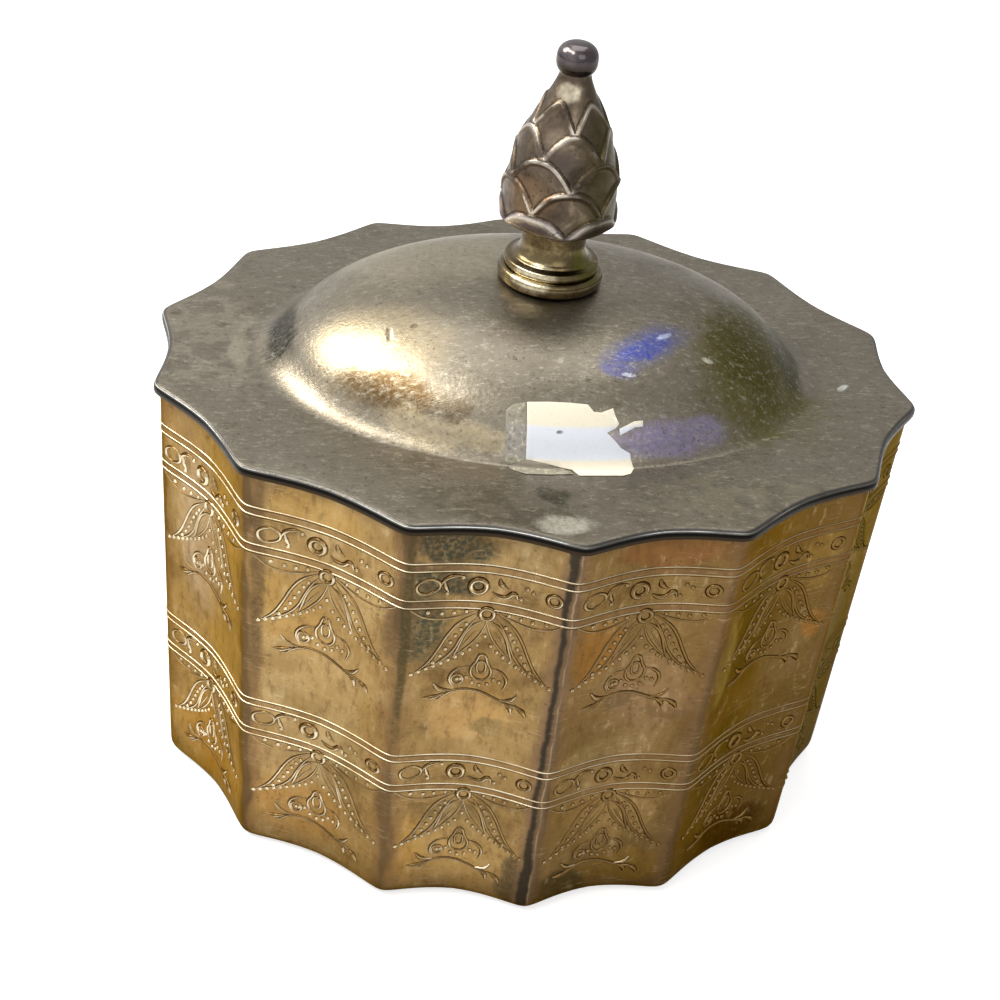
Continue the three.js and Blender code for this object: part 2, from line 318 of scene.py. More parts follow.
def sheet_of(
    mesh: bmesh.types.BMesh, name: str, thickness: float, rounding: float
) -> bpy.types.Object:
    """Makes a piece of a sheet, thickened inwards, with its cut edges eased.

    Args:
        mesh: The sheet, facing outwards.
        name: Name of the piece.
        thickness: Thickness of the metal or the paper.
        rounding: Width of the eased edge.

    Returns:
        The piece.
    """
    piece = piece_of(mesh, name)
    solid = piece.modifiers.new("sheet", "SOLIDIFY")
    solid.thickness = thickness
    solid.offset = -1.0
    solid.use_even_offset = True
    ease = piece.modifiers.new("edge", "BEVEL")
    ease.width = rounding
    ease.segments = 2
    ease.limit_method = "ANGLE"
    ease.angle_limit = math.radians(SHARP_DEGREES)
    return piece


def raised_work(mesh: bmesh.types.BMesh, name: str, lift: float = 0.0) -> bpy.types.Object:
    """Makes a piece of fine raised work, marked by how far each face leans up and back, so that its
    finish paints a highlight on faces turned up and back and shade on those turned down.

    Args:
        mesh: The raised work.
        name: Name of the piece.
        lift: What is added to every mark, which gives the work more painted highlight.

    Returns:
        The piece.
    """
    bmesh.ops.recalc_face_normals(mesh, faces=list(mesh.faces))
    layer = mesh.faces.layers.float.new(Skin.MARK)
    mesh.normal_update()
    for face in mesh.faces:
        middle = face.calc_center_median()
        along = Vector((-middle.y, middle.x, 0.0)).normalized()
        # The mark paints light on faces turned up and back, and shade on those turned down.
        face[layer] = UP_SHARE * face.normal.z - BACK_SHARE * face.normal.dot(along) + lift
    return piece_of(mesh, name)


def dress(piece: bpy.types.Object, material: bpy.types.Material) -> None:
    """Gives a piece one material in the place of any that it has."""
    piece.data.materials.clear()
    piece.data.materials.append(material)


def finish_piece(
    piece: bpy.types.Object,
    body: Body,
    material: bpy.types.Material,
    replaced: Iterable[str] = (),
) -> None:
    """Dresses a piece, ties it to its body, and hides the CAD nodes that it stands for.

    Args:
        piece: The piece.
        body: The body that it moves with.
        material: Its material.
        replaced: The CAD nodes that it stands for.
    """
    dress(piece, material)
    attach(piece, body.value)
    nodes = list(replaced)
    if nodes:
        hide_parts(*nodes)
    LOG.info("%s rides on %s with %d faces", piece.name, body.value, len(piece.data.polygons))


# Shader work


class Graph:
    """A node tree with short ways to add nodes and join them."""

    def __init__(self, tree: bpy.types.NodeTree) -> None:
        """Empties the tree and keeps it."""
        self.tree = tree
        tree.nodes.clear()

    def add(self, kind: str, **settings: object) -> bpy.types.Node:
        """Adds a shader node.

        Args:
            kind: Its type, without the leading ShaderNode.
            settings: Properties to set on it.

        Returns:
            The node.
        """
        node = self.tree.nodes.new("ShaderNode" + kind)
        for name, value in settings.items():
            setattr(node, name, value)
        return node

    def feed(self, node: bpy.types.Node, **values: object) -> bpy.types.Node:
        """Sets or links inputs by name, with spaces written as underscores.

        Args:
            node: The node.
            values: A socket to link, or a plain value.

        Returns:
            The same node.
        """
        for name, value in values.items():
            self.join(node.inputs[name.replace("_", " ")], value)
        return node

    def join(self, socket: bpy.types.NodeSocket, value: object) -> None:
        """Links a socket to another, or sets its value."""
        if isinstance(value, bpy.types.NodeSocket):
            self.tree.links.new(value, socket)
        else:
            socket.default_value = value

    def noise(self, vector: object, scale: object, detail: float = 4.0, **more: float) -> object:
        """Returns the factor of a noise of a scale, on a vector."""
        node = self.add("TexNoise")
        self.feed(node, Vector=vector, Scale=scale, Detail=detail, **more)
        return node.outputs[0]

    def math(self, operation: str, first: object, second: object = 0.0) -> object:
        """Returns the result of one sum on two values."""
        node = self.add("Math", operation=operation)
        self.join(node.inputs[0], first)
        self.join(node.inputs[1], second)
        return node.outputs[0]

    def times(self, first: object, second: object) -> object:
        """Returns the product of two values."""
        return self.math("MULTIPLY", first, second)

    def away(self, value: object, middle: float) -> object:
        """Returns how far a value lies from a middle one, on either side."""
        return self.math("ABSOLUTE", self.math("SUBTRACT", value, middle))

    def mix(self, factor: object, first: object, second: object) -> object:
        """Returns two colours mixed by a factor."""
        node = self.add("Mix", data_type="RGBA", clamp_factor=True)
        for index, value in ((0, factor), (6, first), (7, second)):
            self.join(node.inputs[index], value)
        return node.outputs[2]

    def span(
        self, value: object, low: float, high: float, start: float = 0.0, end: float = 1.0
    ) -> object:
        """Returns a value carried smoothly from one range to another.

        Args:
            value: The value.
            low: Where the source range starts.
            high: Where it ends.
            start: What low becomes.
            end: What high becomes.

        Returns:
            The output socket.
        """
        node = self.add("MapRange", interpolation_type="SMOOTHSTEP")
        self.feed(node, Value=value, From_Min=low, From_Max=high, To_Min=start, To_Max=end)
        return node.outputs[0]

    def ramp(self, factor: object, stops: Sequence[Pair]) -> object:
        """Returns a grey ramp through stops of place and value."""
        node = self.add("ValToRGB")
        ramp = node.color_ramp
        for index, (place, value) in enumerate(stops):
            stop = ramp.elements[index] if index < 2 else ramp.elements.new(place)
            stop.position = place
            stop.color = (value, value, value, 1.0)
        self.join(node.inputs[0], factor)
        return node.outputs[0]

    def split(self, vector: object) -> bpy.types.bpy_prop_collection:
        """Returns the X, Y and Z outputs of a vector."""
        node = self.add("SeparateXYZ")
        self.join(node.inputs[0], vector)
        return node.outputs

    def stretched(self, vector: object, scale: Sequence[float], turn: float = 0.0) -> object:
        """Returns a vector scaled by its three parts, after a turn about Z."""
        node = self.add("Mapping", vector_type="POINT")
        self.feed(node, Vector=vector, Rotation=(0.0, 0.0, turn), Scale=tuple(scale))
        return node.outputs[0]

    def warped(self, vector: object, scale: float, amount: float) -> object:
        """Returns a vector shaken by a noise of a scale, by up to half an amount each way."""
        noise = self.add("TexNoise")
        self.feed(noise, Vector=vector, Scale=scale, Detail=3.0)
        centred = self.add("VectorMath", operation="SUBTRACT")
        self.join(centred.inputs[0], noise.outputs["Color"])
        self.join(centred.inputs[1], (0.5, 0.5, 0.5))
        sized = self.add("VectorMath", operation="SCALE")
        self.join(sized.inputs[0], centred.outputs[0])
        self.feed(sized, Scale=amount)
        moved = self.add("VectorMath", operation="ADD")
        self.join(moved.inputs[0], vector)
        self.join(moved.inputs[1], sized.outputs[0])
        return moved.outputs[0]

    def blob(
        self,
        vector: object,
        middle: Sequence[float],
        reach: Sequence[float],
        turn: float = 0.0,
    ) -> object:
        """Returns a soft round patch, 1 in its middle and 0 past its reach.

        Args:
            vector: The coordinates.
            middle: Where the patch lies.
            reach: Its half sizes along X, Y and Z, before it is turned.
            turn: How far it is turned about Z.

        Returns:
            The output socket.
        """
        node = self.add("Mapping", vector_type="TEXTURE")
        placed = {"Location": tuple(middle), "Rotation": (0.0, 0.0, turn), "Scale": tuple(reach)}
        self.feed(node, Vector=vector, **placed)
        length = self.add("VectorMath", operation="LENGTH")
        self.join(length.inputs[0], node.outputs[0])
        return self.span(length.outputs["Value"], 1.0, 0.25)

    def group(self, tree: bpy.types.NodeTree, **values: object) -> bpy.types.bpy_prop_collection:
        """Places a node group and returns its outputs."""
        node = self.add("Group", node_tree=tree)
        self.feed(node, **values)
        return node.outputs


class GroupMaker:
    """The node groups that more than one finish uses, each built once."""

    MASK_INPUTS = {"Vector": "Vector", "Scale": "Float", "Share": "Float"}

    def start(
        self, name: str, inputs: dict[str, str], outputs: dict[str, str]
    ) -> tuple[Graph, Sockets, Sockets]:
        """Opens a new group.

        Args:
            name: Name of the group.
            inputs: Input names and their socket types.
            outputs: Output names and their socket types.

        Returns:
            The graph, the sockets that bring values in and those that take them out.
        """
        tree = bpy.data.node_groups.new(name, "ShaderNodeTree")
        for in_out, sockets in (("INPUT", inputs), ("OUTPUT", outputs)):
            for socket, kind in sockets.items():
                tree.interface.new_socket(socket, in_out=in_out, socket_type="NodeSocket" + kind)
        graph = Graph(tree)
        entry = tree.nodes.new("NodeGroupInput")
        leave = tree.nodes.new("NodeGroupOutput")
        return graph, {s: entry.outputs[s] for s in inputs}, {s: leave.inputs[s] for s in outputs}

    @cached_property
    def clouds(self) -> bpy.types.NodeTree:
        """Tarnish that lies in clouds of three colours."""
        colours = {"Light": "Color", "Middle": "Color", "Dark": "Color"}
        graph, given, out = self.start(
            "clouded_tarnish",
            {"Vector": "Vector", "Scale": "Float", **colours},
            {"Color": "Color", "Cloud": "Float"},
        )
        broad = graph.noise(given["Vector"], given["Scale"], 5.0, Roughness=0.6, Distortion=0.6)
        close = graph.times(given["Scale"], 4.3)
        fine = graph.noise(given["Vector"], close, 6.0, Roughness=0.7)
        cloud = graph.math("ADD", graph.times(broad, 0.65), graph.times(fine, 0.35))
        low = graph.mix(graph.span(cloud, 0.3, 0.5), given["Dark"], given["Middle"])
        both = graph.mix(graph.span(cloud, 0.5, 0.7), low, given["Light"])
        graph.join(out["Color"], both)
        graph.join(out["Cloud"], cloud)
        return graph.tree

    @cached_property
    def scratches(self) -> bpy.types.NodeTree:
        """Fine scratches that cross at several angles, as a mask."""
        graph, given, out = self.start("fine_scratches", self.MASK_INPUTS, {"Mask": "Float"})
        total: object = 0.0
        for turn, length in ((0.3, 14.0), (1.25, 9.0), (2.2, 18.0), (2.9, 11.0)):
            lines = graph.stretched(given["Vector"], (1.0, length, 1.0), turn)
            thread = graph.noise(lines, given["Scale"], 1.0)
            line = graph.span(graph.away(thread, 0.5), 0.012, 0.0)
            broad = graph.times(given["Scale"], 0.35 + turn / 9)
            there = graph.span(graph.noise(given["Vector"], broad, 2.0), 0.52, 0.66)
            total = graph.math("MAXIMUM", total, graph.times(line, there))
        graph.join(out["Mask"], graph.times(total, given["Share"]))
        return graph.tree

    @cached_property
    def specks(self) -> bpy.types.NodeTree:
        """Small dark or bright specks, as a mask."""
        graph, given, out = self.start("specks", self.MASK_INPUTS, {"Mask": "Float"})
        cells = graph.add("TexVoronoi", feature="F1")
        graph.feed(cells, Vector=given["Vector"], Scale=given["Scale"], Randomness=1.0)
        near = graph.span(cells.outputs["Distance"], 0.32, 0.12)
        some = graph.noise(given["Vector"], graph.times(given["Scale"], 0.17), 3.0)
        strewn = graph.times(near, graph.span(some, 0.5, 0.62))
        graph.join(out["Mask"], graph.times(strewn, given["Share"]))
        return graph.tree

    @cached_property
    def hand(self) -> bpy.types.NodeTree:
        """Height of hand-finished sheet: slow waves and a fine satin tooth."""
        graph, given, out = self.start(
            "hand_finished_sheet",
            {"Vector": "Vector", "Waves": "Float", "Tooth": "Float"},
            {"Height": "Float"},
        )
        waves = graph.times(graph.noise(given["Vector"], 70.0, 2.0), given["Waves"])
        tooth = graph.times(graph.noise(given["Vector"], 1700.0, 3.0), given["Tooth"])
        graph.join(out["Height"], graph.math("ADD", waves, tooth))
        return graph.tree


@dataclass(frozen=True)
class Tarnish:
    """Three colours of one tarnished metal, and how it takes the light.

    Attributes:
        light: Where the metal is worn bright.
        middle: Its common colour.
        dark: Where the tarnish is thick.
        scale: Clouds of tarnish in a metre.
        roughness: Roughness where it is bright.
        rough_more: What tarnish adds to the roughness.
    """

    light: Colour
    middle: Colour
    dark: Colour
    scale: float
    roughness: float = 0.3
    rough_more: float = 0.14


@dataclass(frozen=True)
class Patch:
    """A patch of one colour, whose outline wanders and whose edge is broken up.

    Attributes:
        middle: Where it lies, in millimetres.
        reach: Its half sizes along X, Y and Z, in millimetres.
        colour: Its colour.
        strength: How much it covers, from 0 to 1.
        grain: How finely its edge is broken up, in waves in a metre.
        softness: How soft its edge is, from 0 to 1.
        warp: How far its outline wanders, in millimetres.
        turn: How far it is turned about Z, in degrees.
    """

    middle: Triple
    reach: Triple
    colour: Colour
    strength: float = 0.6
    grain: float = 260.0
    softness: float = 0.6
    warp: float = 0.0
    turn: float = 0.0


class Finish:
    """A metal finish: its tarnish, with the colours laid over it, stains and painted light alike."""

    def __init__(self, name: str, tarnish: Tarnish, groups: GroupMaker) -> None:
        """Opens the material.

        Args:
            name: Name of the material.
            tarnish: Its colours and roughness.
            groups: Where the shared node groups are.
        """
        self.tarnish = tarnish
        self.groups = groups
        self.material = bpy.data.materials.new(name)
        self.material.use_nodes = True
        self.graph = Graph(self.material.node_tree)
        self.place = self.graph.add("TexCoord").outputs["Object"]
        clouds = self.graph.group(
            groups.clouds,
            Vector=self.place,
            Scale=tarnish.scale,
            Light=tarnish.light,
            Middle=tarnish.middle,
            Dark=tarnish.dark,
        )
        self.colour: object = clouds["Color"]
        self.cloud = clouds["Cloud"]
        self.polish: object = 0.0
        self.edge_tint: Colour | None = None
        self.mottle = self.graph.span(self.graph.noise(self.place, 1300.0, 4.0), 0.36, 0.6, 0.68, 1.0)

    @cached_property
    def mark(self) -> object:
        """The mark that the mesh carries."""
        kind = {"attribute_type": "GEOMETRY", "attribute_name": Skin.MARK}
        return self.graph.add("Attribute", **kind).outputs["Fac"]

    def patches(self, patches: Iterable[Patch]) -> None:
        """Lays patches over the metal, one after another."""
        graph = self.graph
        for patch in patches:
            place = self.place
            if patch.warp:
                place = graph.warped(place, 120.0, patch.warp * MM * 2)
            middle = [value * MM for value in patch.middle]
            reach = [value * MM for value in patch.reach]
            soft = graph.blob(place, middle, reach, math.radians(patch.turn))
            inside = graph.span(soft, 0.0, 0.2)
            broken = self.broken(soft, patch.grain, patch.softness)
            mottled = graph.times(inside, self.mottle)
            self.stain(graph.times(broken, mottled), patch.colour, patch.strength)

    def stain(self, mask: object, colour: Colour, strength: float = 1.0) -> None:
        """Mixes a colour over the metal where a mask says."""
        amount = self.graph.times(mask, strength)
        self.colour = self.graph.mix(amount, self.colour, colour)

    def band(
        self, value: object, start: float, full: float, colour: Colour, strength: float
    ) -> None:
        """Stains the metal from where a value starts to where it is full."""
        self.stain(self.graph.span(value, start, full), colour, strength)

    def specks(self, scale: float, colour: Colour, share: float) -> None:
        """Strews specks of a colour over the metal."""
        values = {"Vector": self.place, "Scale": scale, "Share": share}
        self.stain(self.graph.group(self.groups.specks, **values)["Mask"], colour)

    def scratch(
        self, scale: float, colour: Colour, share: float, place: object | None = None
    ) -> None:
        """Draws fine scratches of a colour over the metal, on its own place or on another."""
        values = {"Vector": self.place if place is None else place, "Scale": scale, "Share": share}
        self.stain(self.graph.group(self.groups.scratches, **values)["Mask"], colour)

    def broken(self, mask: object, scale: float = 260.0, width: float = 0.5) -> object:
        """Returns a mask whose edge is broken up by noise."""
        noise = self.graph.noise(self.place, scale, 5.0, Roughness=0.65)
        lifted = self.graph.math("ADD", mask, self.graph.math("SUBTRACT", noise, 0.5))
        return self.graph.span(lifted, 0.5 - width / 2, 0.5 + width / 2)

    def close(
        self, waves: float = 0.0, tooth: float = 0.0, metallic: float = 1.0
    ) -> bpy.types.Material:
        """Joins the colour, roughness and bump to the shader.

        Args:
            waves: Height of the slow waves, in millimetres.
            tooth: Height of the fine tooth, in millimetres.
            metallic: How metallic the surface is.

        Returns:
            The material.
        """
        graph = self.graph
        bright = self.tarnish.roughness
        rough = graph.span(self.cloud, 0.65, 0.35, bright, bright + self.tarnish.rough_more)
        height = graph.group(self.groups.hand, Vector=self.place, Waves=waves, Tooth=tooth)["Height"]
        bump = graph.feed(graph.add("Bump"), Height=height, Distance=MM, Strength=1.0)
        shader = graph.feed(
            graph.add("BsdfPrincipled"),
            Base_Color=self.colour,
            Metallic=metallic,
            Roughness=graph.math("SUBTRACT", rough, self.polish),
            Normal=bump.outputs["Normal"],
        )
        if self.edge_tint:
            graph.feed(shader, Specular_Tint=self.edge_tint)
        graph.join(graph.add("OutputMaterial").inputs["Surface"], shader.outputs["BSDF"])
        return self.material


# Box body


@dataclass
class FlutedWall:
    """The fluted wall with its draft and its turned-in foot.

    Attributes:
        outline: The shared outline.
        height: Height of the wall.
        draft: How far the wall draws in from mouth to foot.
        foot_radius: Radius of the turn at the foot.
        ledge: Width of the flat ledge it stands on.
        sheet: Thickness of the metal.
        rounding: Width of the eased cut edges.
        corner_rows: Rings round the turn.
        rows: Rings up the wall.
        uv_name: Name of the UV map.
    """

    outline: FlutedOutline
    height: float
    draft: float = 1.0 * MM
    foot_radius: float = 3.0 * MM
    ledge: float = 4.0 * MM
    sheet: float = 0.8 * MM
    rounding: float = 0.15 * MM
    corner_rows: int = 6
    rows: int = 24
    uv_name: str = "wall"

    def outset(self, height: float) -> float:
        """Returns how far the outer face lies outside the mouth, at a height."""
        return -self.draft * (1 - height / self.height)

    def surface(self, flute: int, across: float, height: float, proud: float) -> Vector:
        """Places a point over a flute, by its distance from the flute's middle and its height."""
        share = 0.5 + across / self.outline.widths[flute]
        return self.outline.point(flute, share, self.outset(height) + proud, height)

    def build(self) -> bpy.types.Object:
        """Grows the wall from the inner edge of its ledge to its mouth.

        Returns:
            The wall, with a UV map that counts flutes across and heights up.
        """
        ledge_edge = -self.draft - self.foot_radius - self.ledge
        places = [flute + share for flute, share in self.outline.columns]
        skin = Skin(self.outline.ring(ledge_edge, 0.0), places)
        for step in range(self.corner_rows + 1):
            angle = math.pi / 2 * (1 - step / self.corner_rows)
            height = self.foot_radius * (1 - math.sin(angle))
            inset = self.draft + self.foot_radius * (1 - math.cos(angle))
            skin.grow(self.outline.ring(-inset, height), places)
        for row in range(1, self.rows + 1):
            height = lerp(self.foot_radius, self.height, row / self.rows)
            skin.grow(self.outline.ring(self.outset(height), height), places)
        skin.face_out(self.height / 2)
        self.map_flutes(skin)
        return sheet_of(skin.mesh, "engraved_wall", self.sheet, self.rounding)

    def map_flutes(self, skin: Skin) -> None:
        """Writes the UV map: the count of flutes across, and the share of the height."""
        layer = skin.mesh.loops.layers.uv.new(self.uv_name)
        turn = len(self.outline.spans)
        for face in skin.mesh.faces:
            past_seam = max(loop.vert[skin.marks] for loop in face.loops) > turn - 1
            for loop in face.loops:
                place = loop.vert[skin.marks]
                if past_seam and place < 1:
                    place += turn
                loop[layer].uv = (place / turn, loop.vert.co.z / self.height)


# Lid


@dataclass
class PressedLid:
    """The lid pressed from one sheet: seat, dome, fillet, flat rim and turned edge.

    Attributes:
        outline: The shared outline.
        rim_top: Height of the flat rim.
        dome_rise: Height of the dome over the rim.
        edge_out: How far the turned edge lies outside the mouth of the wall.
        crown: How flat the dome is on top.
        shoulder: How steep it is lower down.
        first_ring: Where its first ring lies, against the seat of the finial.
        drop_mark: Mark on the lower edge, where the ones on the turn go from 0 to 1.
    """

    outline: FlutedOutline
    rim_top: float
    dome_rise: float
    edge_out: float = 1.05 * MM
    edge_drop: float = 1.8 * MM
    edge_radius: float = 1.0 * MM
    sheet: float = 0.8 * MM
    rounding: float = 0.15 * MM
    bore_radius: float = 2.3 * MM
    seat_radius: float = 9.4 * MM
    half_length: float = 46.8 * MM
    half_width: float = 35.4 * MM
    crown: float = 3.3
    shoulder: float = 0.7
    fillet_front: float = 3.0 * MM
    fillet_end: float = 4.2 * MM
    foot_half_length: float = 51.6 * MM
    foot_half_width: float = 36.65 * MM
    first_ring: float = 1.25
    drop_mark: float = 1.6
    dome_rows: int = 32
    fillet_rows: int = 14
    flat_rows: int = 9
    edge_rows: int = 6

    def dome_height(self, share: float) -> float:
        """Returns the height over the rim at a share of the dome's reach."""
        return self.dome_rise * (1 - share**self.crown) ** self.shoulder

    def dome_slope(self, share: float) -> float:
        """Returns how fast the dome falls with its share."""
        fall = self.dome_rise * self.shoulder * self.crown * share ** (self.crown - 1)
        return fall * (1 - share**self.crown) ** (self.shoulder - 1)

    def fillet_start(self, bearing: float) -> float:
        """Returns the share of the dome's reach at which the fillet takes over."""
        height = lerp(self.fillet_front, self.fillet_end, math.cos(bearing) ** 2)
        fall = (height / self.dome_rise) ** (1 / self.shoulder)
        return (1 - fall) ** (1 / self.crown)

    def dome_ring(self, portion: float) -> list[Vector]:
        """Returns a ring of the dome, at a portion of the way to the fillet."""
        ring = []
        for bearing in self.outline.bearings:
            share = portion * self.fillet_start(bearing)
            x, y = self.half_length * math.cos(bearing), self.half_width * math.sin(bearing)
            ring.append(Vector((x * share, y * share, self.rim_top + self.dome_height(share))))
        return ring

    def fillet_ring(self, run: float) -> list[Vector]:
        """Returns a ring of the hollow fillet, which leaves the dome and meets the rim smoothly.

        Args:
            run: Share of the way from the dome to the rim.

        Returns:
            The ring.
        """
        fade = (1 - run) ** 2 * (1 + 2 * run)
        lean = run * (1 - run) ** 2
        ring = []
        for start, bearing in zip(self.dome_ring(1.0), self.outline.bearings):
            along, across = math.cos(bearing), math.sin(bearing)
            foot = Vector((self.foot_half_length * along, self.foot_half_width * across, self.rim_top))
            reach = math.hypot(self.half_length * along, self.half_width * across)
            slope = self.dome_slope(self.fillet_start(bearing)) / reach
            length = (foot - start).to_2d().length
            place = start.lerp(foot, run)
            place.z = self.rim_top + (start.z - self.rim_top) * fade - slope * length * lean
            ring.append(place)
        return ring

    def build(self) -> bpy.types.Object:
        """Grows the lid from the hole for the stud to its turned edge.

        Returns:
            The lid.
        """
        top = self.rim_top + self.dome_rise
        skin = Skin(self.outline.oval(self.bore_radius, self.bore_radius, top))
        skin.grow(self.outline.oval(self.seat_radius, self.seat_radius, top))
        first = math.asin(self.seat_radius / self.half_width * self.first_ring)
        for row in range(self.dome_rows):
            angle = lerp(first, math.pi / 2, row / (self.dome_rows - 1))
            skin.grow(self.dome_ring(math.sin(angle)))
        for row in range(1, self.fillet_rows + 1):
            skin.grow(self.fillet_ring(row / self.fillet_rows))
        inner = [vertex.co.copy() for vertex in skin.rings[-1]]
        outer = self.outline.ring(self.edge_out - self.edge_radius, self.rim_top)
        for row in range(1, self.flat_rows):
            share = row / self.flat_rows
            skin.grow([near.lerp(far, share) for near, far in zip(inner, outer)])
        for row in range(self.edge_rows + 1):
            angle = math.pi / 2 * row / self.edge_rows
            inset = self.edge_radius * (1 - math.sin(angle))
            drop = self.edge_radius * (1 - math.cos(angle))
            turned = self.outline.ring(self.edge_out - inset, self.rim_top - drop)
            skin.grow(turned, row / self.edge_rows)
        skin.grow(self.outline.ring(self.edge_out, self.rim_top - self.edge_drop), self.drop_mark)
        skin.face_out(self.rim_top / 2)
        return sheet_of(skin.mesh, "domed_lid", self.sheet, self.rounding)


@dataclass
class LidFlange:
    """The fluted ring under the lid that drops inside the wall."""

    outline: FlutedOutline
    top: float
    bottom: float
    inset: float = 1.2 * MM
    sheet: float = 0.8 * MM
    rounding: float = 0.12 * MM

    def build(self) -> bpy.types.Object:
        """Grows the ring from its top to its lower edge."""
        skin = Skin(self.outline.ring(-self.inset, self.top))
        for share in (0.33, 0.67, 1.0):
            skin.grow(self.outline.ring(-self.inset, lerp(self.top, self.bottom, share)))
        skin.face_out((self.top + self.bottom) / 2)
        return sheet_of(skin.mesh, "locating_flange", self.sheet, self.rounding)


# Studio


@dataclass(frozen=True)
class ProductCamera:
    """The camera at the photograph's viewing angle.

    Attributes:
        place: Where it stands.
        azimuth: Bearing of its view from +Y towards -X, in degrees.
        elevation: How steeply it looks down, in degrees.
        roll: How far it is rolled, in degrees.
        focal_pixels: Focal length in pixels of a frame 1000 pixels wide.
    """

    place: Triple = (-0.0497, -0.25463, 0.22861)
    azimuth: float = -10.23
    elevation: float = 34.30
    roll: float = 7.02
    focal_pixels: float = 1656.0
    frame_pixels: float = 1000.0
    sensor: float = 36.0

    def build(self) -> None:
        """Makes the camera and gives it to the scene."""
        a, e, r = (math.radians(v) for v in (self.azimuth, self.elevation, self.roll))
        back = Vector((math.sin(a) * math.cos(e), -math.cos(a) * math.cos(e), math.sin(e)))
        right = Vector((math.cos(a), math.sin(a), 0.0))
        up = back.cross(right)
        rolled_right = math.cos(r) * right + math.sin(r) * up
        rolled_up = -math.sin(r) * right + math.cos(r) * up
        data = bpy.data.cameras.new("product_camera")
        data.sensor_width = self.sensor
        data.lens = self.focal_pixels / self.frame_pixels * self.sensor
        data.clip_start = 0.01
        camera = stand("product_camera", data)
        turn = Matrix((rolled_right, rolled_up, back)).transposed()
        camera.matrix_world = Matrix.Translation(self.place) @ turn.to_4x4()
        bpy.context.scene.camera = camera


@dataclass(frozen=True)
class SoftLamp:
    """A flat lamp that faces the box.

    Attributes:
        name: Its name.
        azimuth: Bearing that it shines from, from +Y towards +X, in degrees.
        elevation: Its height over the horizon, in degrees.
        distance: Its distance from the middle of the box.
        size: Its width and its height.
        power: Its power, in watts.
        colour: Its colour.
    """

    name: str
    azimuth: float
    elevation: float
    distance: float
    size: Pair
    power: float
    colour: Triple = (1.0, 1.0, 1.0)

    def build(self, target: Vector) -> None:
        """Makes the lamp and turns it to its target."""
        a, e = math.radians(self.azimuth), math.radians(self.elevation)
        way = Vector((math.sin(a) * math.cos(e), math.cos(a) * math.cos(e), math.sin(e)))
        data = bpy.data.lights.new(self.name, "AREA")
        data.shape = "RECTANGLE"
        data.size, data.size_y = self.size
        data.energy = self.power
        data.color = self.colour
        lamp = stand(self.name, data)
        lamp.location = target + way * self.distance
        lamp.rotation_euler = way.to_track_quat("Z", "Y").to_euler()


@dataclass(frozen=True)
class Studio:
    """A pale floor, soft lamps and a plain world.

    Attributes:
        floor_size: Width of the floor.
        floor_in_gloss: How strongly the metal sees the glow of the floor.
        world_strength: Light of the world on the box.
        target: Where the lamps point.
        lamps: The lamps.
    """

    floor_size: float = 6.0
    floor_in_gloss: float = 0.05
    world_strength: float = 0.55
    target: Triple = (0.0, 0.0, 0.07)
    lamps: tuple[SoftLamp, ...] = (
        SoftLamp("warm_key", -66.0, 42.0, 0.9, (0.34, 0.42), 5.0, (1.0, 0.95, 0.87)),
        SoftLamp("side_window", -108.0, 57.0, 0.9, (0.6, 0.26), 3.6, (1.0, 0.97, 0.9)),
        SoftLamp("top_fill", 10.0, 75.0, 1.2, (0.9, 0.9), 3.6),
        SoftLamp("front_fill", 165.0, 35.0, 1.2, (0.7, 0.7), 2.2),
    )

    def build(self) -> None:
        """Makes the floor, the lamps and the world."""
        self.floor()
        for lamp in self.lamps:
            lamp.build(Vector(self.target))
        self.world()
        bpy.context.scene.view_settings.view_transform = "Standard"

    def seen(self, graph: Graph, in_gloss: object) -> object:
        """Returns 1 for rays straight from the camera and a share for those off the metal."""
        path = graph.add("LightPath").outputs
        straight = graph.math("MAXIMUM", path["Is Camera Ray"], path["Is Transmission Ray"])
        return graph.math("MAXIMUM", straight, graph.times(path["Is Glossy Ray"], in_gloss))

    def floor(self) -> None:
        """Makes the pale floor, which keeps the shadow of the box."""
        mesh = bmesh.new()
        bmesh.ops.create_grid(mesh, x_segments=1, y_segments=1, size=self.floor_size / 2)
        floor = piece_of(mesh, "floor")
        material = bpy.data.materials.new("pale_floor")
        material.use_nodes = True
        graph = Graph(material.node_tree)
        plain = graph.feed(graph.add("BsdfDiffuse"), Color=(0.8, 0.8, 0.8, 1.0))
        glow = graph.feed(graph.add("Emission"), Color=(1.0, 1.0, 1.0, 1.0), Strength=0.6)
        both = graph.add("AddShader")
        graph.join(both.inputs[0], plain.outputs[0])
        graph.join(both.inputs[1], glow.outputs[0])
        choose = graph.add("MixShader")
        graph.join(choose.inputs[0], self.seen(graph, self.floor_in_gloss))
        graph.join(choose.inputs[1], plain.outputs[0])
        graph.join(choose.inputs[2], both.outputs[0])
        graph.join(graph.add("OutputMaterial").inputs["Surface"], choose.outputs[0])
        floor.data.materials.append(material)

    def world(self) -> None:
        """Makes the world: plain light, white to the camera and brighter on the left in gloss."""
        world = bpy.data.worlds.new("studio")
        bpy.context.scene.world = world
        world.use_nodes = True
        graph = Graph(world.node_tree)
        way = graph.split(graph.add("TexCoord").outputs["Generated"])
        side = graph.span(way[0], -0.9, 0.9, 1.05, 0.4)
        strength = graph.math("MAXIMUM", self.seen(graph, side), self.world_strength)
        light = graph.feed(graph.add("Background"), Color=(1.0, 1.0, 1.0, 1.0), Strength=strength)
        graph.join(graph.add("OutputWorld").inputs["Surface"], light.outputs[0])


# Finial


